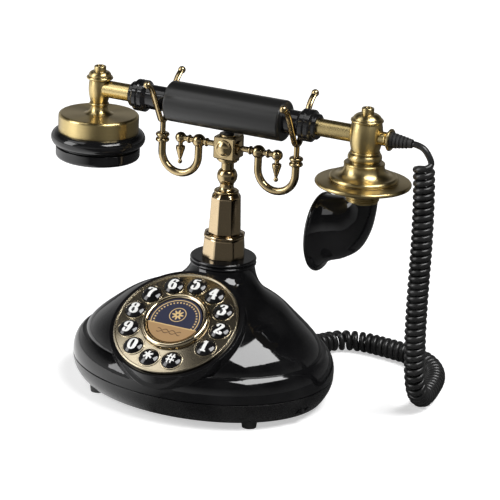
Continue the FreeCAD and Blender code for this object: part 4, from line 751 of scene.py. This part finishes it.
def brass(name, centre, tilt, tones, roughness, rings=9.0, hollow=HOLLOW_REACH, relief=0.002,
          cone=0.0, cushion=0.0, spun=0.0):
    """Aged brass: lathe rings roughen it, painted shade darkens its hollows and edges are rubbed
    bright. A plate that was spun on a lathe also falls away from its middle by a small cone, and
    the flat faces of an eight-sided piece are polished to a slight cushion of the given radius.
    Spun says how far brushing stretches the highlights."""
    clean, dark, bright = tones
    finish = Finish(name, centre, tilt, Metallic=1.0, Anisotropic=spun,
                    Anisotropic_Rotation=SPUN_TURN)
    shade_and_wear = finish.group("shade_and_wear", Vector=finish.vector, Reach=hollow, Round=BRASS_EDGE)
    turned = finish.group("lathe_rings", Vector=finish.vector, Fineness=rings)
    line = turned["Rings"]
    tone = finish.mix(finish.spread(line, *RING_GROWS, 0.0, RING_SHADE), clean, dark)
    # Painted shade: hollows, where little sky is seen, take the dark tone.
    tone = finish.mix(shade_and_wear["Hollow Shade"], tone, dark)
    tone = finish.mix(shade_and_wear["Edge"], tone, bright)
    finish.join(finish.shader["Base Color"], tone)
    finish.rough(roughness * (1 - RING_ROUGH), roughness * (1 + RING_ROUGH), line)
    height = finish.math("MULTIPLY", line, relief)
    if cone:
        fall = -math.tan(math.radians(cone))
        height = finish.math("MULTIPLY_ADD", turned["Radius"], fall, height)
    if cushion:
        parts = finish.add("ShaderNodeSeparateXYZ", Vector=finish.vector).outputs
        angle = finish.math("ARCTAN2", parts["Y"], parts["X"])
        lean = finish.math("PINGPONG", finish.math("ADD", angle, FACE_HALF), FACE_HALF)
        aside = finish.math("MULTIPLY", turned["Radius"], finish.math("SINE", lean))
        rise = finish.math("DIVIDE", finish.math("MULTIPLY", aside, aside), -2.0 * cushion)
        height = finish.math("ADD", height, rise)
    finish.bump(height, 1.0, shade_and_wear["Normal"])
    return finish


# %% Dress the handset's brass and the cradle
SATIN = ((0.60, 0.47, 0.22, 1), (0.17, 0.125, 0.045, 1), (0.82, 0.70, 0.44, 1))
DARK = ((0.50, 0.385, 0.205, 1), (0.06, 0.042, 0.02, 1), (0.84, 0.70, 0.45, 1))
POLE = ((0.58, 0.45, 0.28, 1), (0.06, 0.042, 0.024, 1), (0.80, 0.68, 0.46, 1))
FACE_CUSHION, SPUN = 28.0, 0.8
EAR, MOUTH = (-99.6, COLUMN_Y, 170), (98.6, COLUMN_Y, 170)
COLUMN, UPRIGHT = (0, COLUMN_Y, 120), (0, 0, 0)

dress(brass("ear_brass", EAR, UPRIGHT, SATIN, 0.3, spun=SPUN),
      "ear_barrel", "ear_finial", "ear_drum")
dress(brass("mouth_brass", MOUTH, UPRIGHT, SATIN, 0.3, spun=SPUN),
      "mouth_barrel", "mouth_finial", "mouth_flange")
dress(brass("tube_brass", GRIP_AXIS, ALONG_X, SATIN, 0.27), "handset_tube", "cord_nipple")
pole = brass("column_brass", COLUMN, UPRIGHT, POLE, 0.14, 6.0, relief=0.004,
             cushion=FACE_CUSHION, spun=SPUN)
cradle = brass("cradle_brass", COLUMN, UPRIGHT, DARK, 0.18, 3.0)
dress(cradle, "column_finial", "cradle_block", "block_rosettes", "pendants", "left_arm",
      "right_arm", "left_hook", "right_hook", "left_fork", "right_fork")
print("black and brass pieces", len(dressed))

# %% [markdown]
# The column is eight-sided, with a corner to the front and corners eased by polishing. Its two
# pieces could be prisms with bevelled edges. Here each row of points is one eight-sided ring,
# and a list of radii and heights says where the rows stand: up the outside, over the top and
# down the bore for the rod.

# %% Turn the column
BORE, SOCKET_FOOT, SHAFT_FOOT, SHAFT_TOP = 3.2, 88.9, 105.4, 133.6
SOCKET_LINE = [
    (BORE, SOCKET_FOOT), (15.2, SOCKET_FOOT), (15.4, 89.1), (15.37, 89.5), (15.31, 90.0),
    (14.39, 101.5), (14.33, 102.2), (13.9, 102.6), (13.9, 102.9), (14.6, 103.2), (14.85, 103.7),
    (14.75, 104.3), (14.2, 104.9), (13.3, SHAFT_FOOT), (12.8, SHAFT_FOOT), (BORE, SHAFT_FOOT),
]
SHAFT_LINE = [
    (BORE, SHAFT_FOOT), (11.4, SHAFT_FOOT), (11.6, 105.6), (11.58, 106.0), (11.55, 106.6),
    (10.53, 129.6), (10.5, 130.3), (10.3, 130.9), (9.9, 131.5), (8.9, 132.9), (8.4, 133.4),
    (7.9, SHAFT_TOP), (7.3, SHAFT_TOP), (BORE, SHAFT_TOP),
]
COLUMN_POINTS, CORNER_POWER = 320, 80
round_column = np.linspace(0, 2 * math.pi, COLUMN_POINTS, endpoint=False)
face_middles = FACE_HALF * (2 * np.arange(FACES) + 1)
facing = np.maximum(np.cos(round_column[:, None] - face_middles), 0)
eight_sided = math.cos(FACE_HALF) * (facing ** CORNER_POWER).sum(1) ** (-1 / CORNER_POWER)


def turned_rows(line, outline):
    """Rows about the column's axis: a row at each height of the line, its points at the line's
    radius times the outline's share in each direction. The eight-sided outline is a face's
    distance over the cosine of the angle from its middle. A high power of the eight cosines
    is summed before the root is taken, which eases the corners."""
    radius, level = np.array(line).T[:, :, None]
    return np.stack([
        COLUMN[0] + radius * outline * np.cos(round_column),
        COLUMN[1] + radius * outline * np.sin(round_column),
        np.broadcast_to(level, (len(line), COLUMN_POINTS))], 2)


for name, line in (("column_socket", SOCKET_LINE), ("column_shaft", SHAFT_LINE)):
    rows = turned_rows(line, eight_sided)
    faced = make_piece(name + "_faces", [rows], pole.material, bored=True)
    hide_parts(name)
    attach(faced, "base")
    print(faced.name, len(faced.data.vertices), "points")

# %% [markdown]
# Two black beads ring the collar under the column. They could be two tori. The column's own way
# of turning makes them too, from a circle of radii and heights.

# %% Turn the collar's beads
BEAD_RADIUS, BEAD_CENTRE, BEAD_HEIGHTS, BEAD_ROWS = 1.4, 21.2, (84.7, 87.5), 24
bead_turn = np.linspace(0, 2 * math.pi, BEAD_ROWS, endpoint=False)
bead_rows = [turned_rows(np.stack([BEAD_CENTRE + BEAD_RADIUS * np.cos(bead_turn),
                                   middle + BEAD_RADIUS * np.sin(bead_turn)], 1), 1.0)
             for middle in BEAD_HEIGHTS]
beads = make_piece("collar_beads", bead_rows, bpy.data.materials["shell_gloss"], bored=True)
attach(beads, "base")
print("collar beads", len(BEAD_HEIGHTS))

# %% [markdown]
# The dial plate is brushed round its own tilted axis, and the ring in its middle is polished.
# Both could have recipes of their own. The brass recipe serves, turned to the dial's axis, and
# it shades the plate as a cone that falls away a little from its middle.

# %% Dial plate and centre ring
DIAL, TILT = (0, -39.7, 61.0), (32.3, 0, 0)
PLATE = ((0.54, 0.47, 0.34, 1), (0.11, 0.09, 0.06, 1), (0.80, 0.70, 0.50, 1))
RING = ((0.74, 0.62, 0.42, 1), (0.20, 0.14, 0.08, 1), (0.90, 0.80, 0.58, 1))
PLATE_CONE, DIAL_REACH = 12, 0.002
dress(brass("dial_brass", DIAL, TILT, PLATE, 0.2, hollow=DIAL_REACH, cone=PLATE_CONE),
      "dial_plate")
ring = brass("ring_brass", DIAL, TILT, RING, 0.12, hollow=DIAL_REACH)
print("dressed", len(dressed))

# %% [markdown]
# A swelling ring holds the card in the middle of the dial. It could be a torus pressed flat.
# Here its section is half an oval with steep sides, carried round the dial's own axis.

# %% Swell the centre ring
RING_IN, RING_OUT, RING_RISE, RING_STEEP = 18.6, 23.2, 3.7, 0.7
RING_ROWS, RING_SIDES = 28, 192
dial_x = np.array([1.0, 0.0, 0.0])
dial_up = np.array([0.0, math.cos(math.radians(TILT[0])), math.sin(math.radians(TILT[0]))])
dial_out = np.cross(dial_x, dial_up)


def on_dial(x, y, out):
    """Points along the dial, up its slope and out of its face."""
    along, up, above = x[..., None] * dial_x, y[..., None] * dial_up, out[..., None] * dial_out
    return np.array(DIAL) + along + up + above


over_ring = np.linspace(0, math.pi, RING_ROWS)[:, None]
round_ring = np.linspace(0, 2 * math.pi, RING_SIDES, endpoint=False)
ring_reach = (RING_IN + RING_OUT) / 2 - (RING_OUT - RING_IN) / 2 * np.cos(over_ring)
ring_rise = RING_RISE * np.sin(over_ring).clip(0) ** RING_STEEP
swelling = make_piece("swelling_ring", [on_dial(
    ring_reach * np.cos(round_ring), ring_reach * np.sin(round_ring),
    np.broadcast_to(ring_rise, (RING_ROWS, RING_SIDES)))], ring.material, bored=True)
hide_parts("centre_ring")
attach(swelling, "base")
print("ring", RING_OUT - RING_IN, "mm wide")

# %% [markdown]
# ## The card in the middle of the dial
#
# The middle of the dial holds a printed card under a clear face: a dark blue field over a tan
# one, with gold lines. The print is drawn with arithmetic on the dial's own coordinates, as a
# drawing made of circles, a rosette and waves, and a clear coat lies over it.

# %% Draw the rosette and the rings
ROSETTE_UP, ROSETTE_RADIUS, PETALS, PETAL_RISE, EYE_EDGE = 4.5, 3.1, 8.0, 1.1, (1.0, 0.7)
HOOP, HOOP_HALF, BORDER, BORDER_HALF = 5.6, 0.28, 16.6, 0.3
BEAD_RING, BEAD_RING_HALF, BEAD_COUNT = 14.6, 0.55, 40.0
PRINT_SOFT, PETAL_SOFT, BEAD_SOFT, END_SOFT = 0.12, 0.15, 0.15, 0.3
card = Finish("centre_card", DIAL, TILT, Roughness=0.4, Coat_Weight=0.3, Coat_Roughness=0.08)
parts = card.add("ShaderNodeSeparateXYZ", Vector=card.vector).outputs
x, y = parts["X"], parts["Y"]
from_middle = card.distance(x, y)

up = card.math("SUBTRACT", y, ROSETTE_UP)
from_rosette = card.distance(x, up)
petal = card.math("COSINE", card.math("MULTIPLY", card.math("ARCTAN2", up, x), PETALS))
petal_edge = card.math("MULTIPLY_ADD", petal, PETAL_RISE, ROSETTE_RADIUS)
rosette = card.spread(card.math("SUBTRACT", petal_edge, from_rosette), -PETAL_SOFT, PETAL_SOFT)
rosette = card.math("SUBTRACT", rosette, card.spread(from_rosette, *EYE_EDGE))
hoop = card.band(from_rosette, HOOP, HOOP_HALF, PRINT_SOFT)
border = card.band(from_middle, BORDER, BORDER_HALF, PRINT_SOFT)
bead = card.math("COSINE", card.math("MULTIPLY", card.math("ARCTAN2", y, x), BEAD_COUNT))
bead_row = card.math("MULTIPLY", card.band(from_middle, BEAD_RING, BEAD_RING_HALF, BEAD_SOFT),
                     card.spread(bead, 0.0, END_SOFT))
gold = card.math("MAXIMUM", card.math("MAXIMUM", rosette, hoop),
                 card.math("MAXIMUM", border, bead_row))
print("rosette with", int(PETALS), "petals, ring of", int(BEAD_COUNT), "beads")

# %% Draw the crossing waves and print the card
NAVY, TAN = (0.016, 0.018, 0.045, 1), (0.36, 0.22, 0.10, 1)
GOLD, BROWN = (0.62, 0.44, 0.20, 1), (0.07, 0.035, 0.015, 1)
HORIZON, HORIZON_HALF, FINE = -5.0, 0.35, 0.1
WAVES_UP, WAVE_RATE, WAVE_RISE, WAVE_HALF, WAVE_REACH = -10.2, 0.62, 1.5, 0.3, 8.6
wave = card.math("SINE", card.math("MULTIPLY", x, WAVE_RATE))
low = card.math("SUBTRACT", y, WAVES_UP)
falling, rising = (
    card.band(card.math("MULTIPLY_ADD", wave, rise, low), 0.0, WAVE_HALF, PRINT_SOFT)
    for rise in (-WAVE_RISE, WAVE_RISE)
)
crossing = card.math("MULTIPLY", card.math("MAXIMUM", falling, rising),
                     card.band(x, 0.0, WAVE_REACH, END_SOFT))
below = card.spread(y, HORIZON + FINE, HORIZON - FINE)
tone = card.mix(gold, NAVY, GOLD)
tone = card.mix(below, tone, card.mix(crossing, TAN, BROWN))
tone = card.mix(card.band(y, HORIZON, HORIZON_HALF, FINE), tone, GOLD)
card.join(card.shader["Base Color"], tone)
card.bump(card.noise(card.vector, 1.4, 2.0), 0.004)
dress(card, "centre_label")
print("card nodes", len(card.tree.nodes))

# %% [markdown]
# ## Pieces inside and underneath
#
# The boards, magnet cups, screws and iron weight are hardly seen, but they still get a finish
# of their own kind. The screws' cross slots could be cut in the mesh. A bump is enough for
# slots that are seen only from below, and they are coloured near black as painted shade,
# since a bump casts none.

# %% Steel with the screws' cross slots in painted shade
SCREW_X, SCREW_Y, SCREW_MIDDLE_Y = 62.0, 28.0, 2.7
SLOT_HALF, SLOT_REACH, SLOT_SOFT, SLOT_DEPTH = 0.45, 1.9, 0.1, 0.3
steel = Finish("screw_steel", Metallic=1.0)
marks = steel.group("handling", Vector=steel.vector)
spot = steel.add("ShaderNodeSeparateXYZ", Vector=steel.vector).outputs
from_middle_y = steel.math("SUBTRACT", spot["Y"], SCREW_MIDDLE_Y)
across_x, across_y = (
    steel.math("SUBTRACT", steel.math("ABSOLUTE", place), screw)
    for place, screw in ((spot["X"], SCREW_X), (from_middle_y, SCREW_Y))
)
slots = [
    steel.math("MULTIPLY", steel.band(narrow, 0, SLOT_HALF, SLOT_SOFT),
               steel.band(wide, 0, SLOT_REACH, SLOT_SOFT))
    for narrow, wide in ((across_x, across_y), (across_y, across_x))
]
cross = steel.math("MAXIMUM", *slots)
worn = steel.mix(marks["Smudge"], (0.62, 0.62, 0.63, 1), (0.42, 0.41, 0.40, 1))
# Painted shade: the cross slots are coloured near black, as the shade of a recess.
steel.join(steel.shader["Base Color"], steel.mix(cross, worn, grey(0.03)))
steel.rough(0.25, 0.4, marks["Grain"])
steel.bump(steel.math("SUBTRACT", 1.0, cross), SLOT_DEPTH)
dress(steel, "case_screws", "ringer_speaker", "receiver_capsule", "mic_capsule")
print("dressed", len(dressed))

# %% Iron, mouldings and boards
dress(plain("weight_iron", (grey(0.05), (0.16, 0.15, 0.14, 1)), (0.55, 0.8), 0.2, "Grain",
            Metallic=0.6), "ballast_plate")
dress(plain("inner_moulding", ((0.016, 0.016, 0.017, 1), (0.030, 0.030, 0.031, 1)), (0.3, 0.5),
            0.02, IOR=PLASTIC_IOR),
      "hook_switch", "line_jack", "handset_jack", "cord_plug", "hook_plunger")

board = Finish("board_laminate", IOR=PLASTIC_IOR)
marks = board.group("handling", Vector=board.vector)
tracks = board.add("ShaderNodeTexBrick", Vector=board.vector, Scale=0.12, Mortar_Size=0.06)
board.join(board.shader["Base Color"], board.mix(
    tracks.outputs["Fac"], (0.03, 0.12, 0.05, 1), (0.08, 0.22, 0.10, 1)))
board.rough(0.3, 0.5, marks["Grain"])
board.bump(tracks.outputs["Fac"], 0.03)
dress(board, "main_board", "keypad_board")
print("left to new pieces:", sorted(set(nodes) - dressed))

# %% [markdown]
# ## Figures on the keys
#
# Each key carries a bold white figure, with thick upright strokes and thin level ones, as on
# old dials. They could be text objects. Here each figure is a few strokes along smooth lines,
# and one rule makes it bold: a stroke is wide where it runs upright and narrow where it runs
# level, as a broad pen writes. The strokes then bend over the dome of the key.

# %% The lines that a pen follows for each figure
BALL = 0.105
FIGURES = {
    "1": ([[(0.02, 0.46), (0.02, -0.46)], [(-0.2, 0.3), (-0.1, 0.34), (0.0, 0.45)],
           [(-0.2, -0.45), (0.24, -0.45)]], []),
    "2": ([[(-0.22, 0.22), (-0.19, 0.36), (0.0, 0.45), (0.19, 0.34), (0.19, 0.14), (0.03, -0.1),
            (-0.15, -0.28), (-0.25, -0.44)],
           [(-0.25, -0.42), (-0.1, -0.36), (0.1, -0.43), (0.22, -0.4), (0.26, -0.24)]],
          [(-0.18, 0.24)]),
    "3": ([[(-0.2, 0.28), (-0.15, 0.39), (0.0, 0.45), (0.18, 0.36), (0.18, 0.16), (0.02, 0.05)],
           [(-0.04, 0.05), (0.14, 0.0), (0.24, -0.17), (0.17, -0.37), (0.0, -0.45),
            (-0.16, -0.41), (-0.23, -0.29)]],
          [(-0.18, 0.28), (-0.2, -0.28)]),
    "4": ([[(0.1, 0.46), (0.1, -0.46)], [(0.06, 0.46), (-0.3, -0.16)],
           [(-0.31, -0.17), (0.3, -0.17)], [(-0.06, -0.45), (0.26, -0.45)]], []),
    "5": ([[(-0.18, 0.41), (0.02, 0.38), (0.2, 0.43)], [(-0.17, 0.44), (-0.19, 0.06)],
           [(-0.19, 0.04), (-0.03, 0.13), (0.14, 0.08), (0.23, -0.13), (0.15, -0.36),
            (-0.02, -0.45), (-0.17, -0.41), (-0.23, -0.29)]],
          [(-0.2, -0.28)]),
    "6": ([[(0.21, 0.3), (0.15, 0.41), (0.02, 0.45), (-0.14, 0.34), (-0.23, 0.08), (-0.23, -0.18),
            (-0.15, -0.39), (0.0, -0.45), (0.16, -0.38), (0.22, -0.18), (0.15, 0.01), (0.0, 0.07),
            (-0.14, 0.0), (-0.2, -0.12)]],
          [(0.17, 0.29)]),
    "7": ([[(-0.25, 0.24), (-0.23, 0.41), (-0.08, 0.43), (0.1, 0.38), (0.26, 0.44)],
           [(0.25, 0.43), (0.1, 0.16), (0.0, -0.12), (-0.03, -0.46)]], []),
    "8": ([[(0.0, 0.03), (-0.17, 0.12), (-0.18, 0.32), (0.0, 0.45), (0.18, 0.32), (0.17, 0.12),
            (0.0, 0.03)],
           [(0.0, 0.05), (-0.2, -0.06), (-0.23, -0.3), (0.0, -0.45), (0.23, -0.3), (0.2, -0.06),
            (0.0, 0.05)]], []),
    "0": ([[(0.0, 0.45), (-0.19, 0.32), (-0.24, 0.0), (-0.19, -0.32), (0.0, -0.45), (0.19, -0.32),
            (0.24, 0.0), (0.19, 0.32), (0.0, 0.45)]], []),
    "star": ([[(0.0, 0.4), (0.0, -0.4)], [(-0.33, 0.2), (0.33, -0.2)],
              [(-0.33, -0.2), (0.33, 0.2)]], []),
    "hash": ([[(-0.1, 0.42), (-0.17, -0.42)], [(0.17, 0.42), (0.1, -0.42)],
              [(-0.34, 0.15), (0.34, 0.15)], [(-0.34, -0.15), (0.34, -0.15)]], []),
}


def half_turned(points):
    """The same points after half a turn."""
    return [(-a, -b) for a, b in points]


strokes, balls = FIGURES["6"]
FIGURES["9"] = ([half_turned(stroke) for stroke in strokes], half_turned(balls))
print("figures", len(FIGURES))

# %% [markdown]
# A stroke is a flat band with a small rise. Its middle line is a smooth curve through the
# points above, and the band's two sides lie square to that line. The whole band is one grid:
# stations along the line, and points round its flat section.

# %% From a pen line to a band
THIN, THICK, PEN_POWER = 0.05, 0.13, 1.5
STROKE_STEPS, BALL_SWEEP = 14, 3.0
SECTION = np.array([(-1, -0.3), (-1, 0.6), (-0.85, 1), (-0.45, 1), (0, 1), (0.45, 1), (0.85, 1),
                    (1, 0.6), (1, -0.3)])


def band(line, half):
    """A closed band: the flat section, as wide as half says at each station of the line."""
    ahead = unit(np.gradient(line, axis=0))
    square = np.stack([-ahead[:, 1], ahead[:, 0]], 1)
    flat = line[:, None] + SECTION[None, :, :1] * (half[:, None] * square)[:, None]
    height = np.broadcast_to(SECTION[None, :, 1:], (*flat.shape[:2], 1))
    return np.concatenate([flat, height], 2)


def pen(points, even=None):
    """A stroke of the pen: narrow where it runs level, wide where it runs upright."""
    line = through(points, STROKE_STEPS)
    ahead = unit(np.gradient(line, axis=0))
    half = THIN + (THICK - THIN) * np.abs(ahead[:, 1]) ** PEN_POWER
    return band(line, np.full(len(line), even) if even else half)


def ball(x, y):
    """The round end of a stroke: a band as wide as a circle is at each station."""
    share = np.sin(np.linspace(-0.5, 0.5, STROKE_STEPS) * BALL_SWEEP)
    line = np.stack([x + BALL * share, np.full_like(share, y)], 1)
    return band(line, BALL * np.sqrt(1 - share ** 2))


# %% Bend a band over a key's dome
FIGURE_TALL, PAINT = 8.8, 0.05
KEY_RADIUS, KEY_EDGE, KEY_CROWN, KEY_CIRCLE = 6.5, 1.0, 2.2, 32.0
DOME = (KEY_RADIUS ** 2 + KEY_CROWN ** 2) / (2 * KEY_CROWN)
print("dome radius", round(DOME, 2), "mm")


def on_key(flat, angle):
    """Bends a band over the dome of the key at an angle of the dial: out of the dial by the
    dome's height there, plus the paint's own."""
    x, y = flat[..., 0] * FIGURE_TALL, flat[..., 1] * FIGURE_TALL
    dome = np.sqrt(DOME ** 2 - x ** 2 - y ** 2)
    out = KEY_EDGE + KEY_CROWN - DOME + dome + PAINT * flat[..., 2]
    x = x + KEY_CIRCLE * math.cos(angle)
    y = y + KEY_CIRCLE * math.sin(angle)
    return on_dial(x, y, out)


# %% Put the figures on the keys
FIRST_KEY, KEY_STEP = -27, 28.8
EVEN = {"star": 0.075, "hash": 0.06}
paint = plain("figure_white", ((0.86, 0.86, 0.84, 1), (0.74, 0.74, 0.72, 1)), (0.3, 0.4), 0.004,
              IOR=1.45)

KEY_ORDER = ["1", "2", "3", "4", "5", "6", "7", "8", "9", "0", "star", "hash"]
for place, key in enumerate(KEY_ORDER):
    strokes, balls = FIGURES[key]
    bands = [pen(points, EVEN.get(key)) for points in strokes] + [ball(*spot) for spot in balls]
    angle = math.radians(FIRST_KEY + KEY_STEP * place)
    figure = make_piece(f"figure_{key}", [on_key(flat, angle) for flat in bands], paint.material)
    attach(figure, f"key_{key}")
print("figures made", len(KEY_ORDER))

# %% [markdown]
# ## Screw thread under the mouth flange
#
# The horn hangs from the flange on a threaded neck. A thread could be a ridge swept along a
# helix. Here it is the neck's own surface: its radius rises and falls with the height, and the
# pattern climbs by one pitch in each turn.

# %% Cut the thread
NECK_RADIUS, THREAD_FOOT, THREAD_TOP, THREAD_PITCH, RIDGE = 10.7, 145.6, 151.6, 1.5, 0.6
NECK_SIDES, NECK_ROWS = 96, 64
round_neck = np.linspace(0, 2 * math.pi, NECK_SIDES, endpoint=False)
height = np.linspace(THREAD_FOOT, THREAD_TOP, NECK_ROWS)[:, None]
climb = (height - THREAD_FOOT) / THREAD_PITCH - round_neck / (2 * math.pi)
fade = ease(np.minimum(height - THREAD_FOOT, THREAD_TOP - height) / THREAD_PITCH)
reach = NECK_RADIUS + RIDGE * fade * (0.5 + 0.5 * np.cos(2 * math.pi * climb))
thread_grid = np.stack([
    MOUTH[0] + reach * np.cos(round_neck), MOUTH[1] + reach * np.sin(round_neck),
    np.broadcast_to(height, reach.shape)], 2)
thread = make_piece("mouth_thread", [thread_grid], bpy.data.materials["mouth_brass"])
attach(thread, "handset")
print("thread turns", round((THREAD_TOP - THREAD_FOOT) / THREAD_PITCH, 1))

# %% [markdown]
# ## Wires in the line socket
#
# The socket at the back takes a line cord's plug. Four springy gilt wires rise from its front
# edge towards its back wall. Each is a small circle carried along a line that bends once.

# %% Bend the socket wires
WIRE_RADIUS, WIRE_STEP, CONTACT_SIDES, LINE_SOCKET_X = 0.22, 1.02, 8, -36
CONTACT_PATH = [(66.9, 9.7), (64.0, 9.9), (61.0, 12.2), (58.6, 13.9)]
wire_path = through(CONTACT_PATH, BEND_STEPS)
wire_ahead = unit(np.gradient(wire_path, axis=0))
round_wire = np.linspace(0, 2 * math.pi, CONTACT_SIDES, endpoint=False)
wires = []
for step in (-1.5, -0.5, 0.5, 1.5):
    middle = np.full((len(wire_path), CONTACT_SIDES), LINE_SOCKET_X + step * WIRE_STEP)
    across_wire = middle + WIRE_RADIUS * np.cos(round_wire)
    lift = WIRE_RADIUS * np.sin(round_wire)
    back = wire_path[:, :1] - wire_ahead[:, 1:] * lift
    high = wire_path[:, 1:] + wire_ahead[:, :1] * lift
    wires.append(np.stack([across_wire, back, high], 2))
socket_wires = make_piece("line_socket_wires", wires, bpy.data.materials["ring_brass"])
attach(socket_wires, "base")
print("socket wires", len(wires))
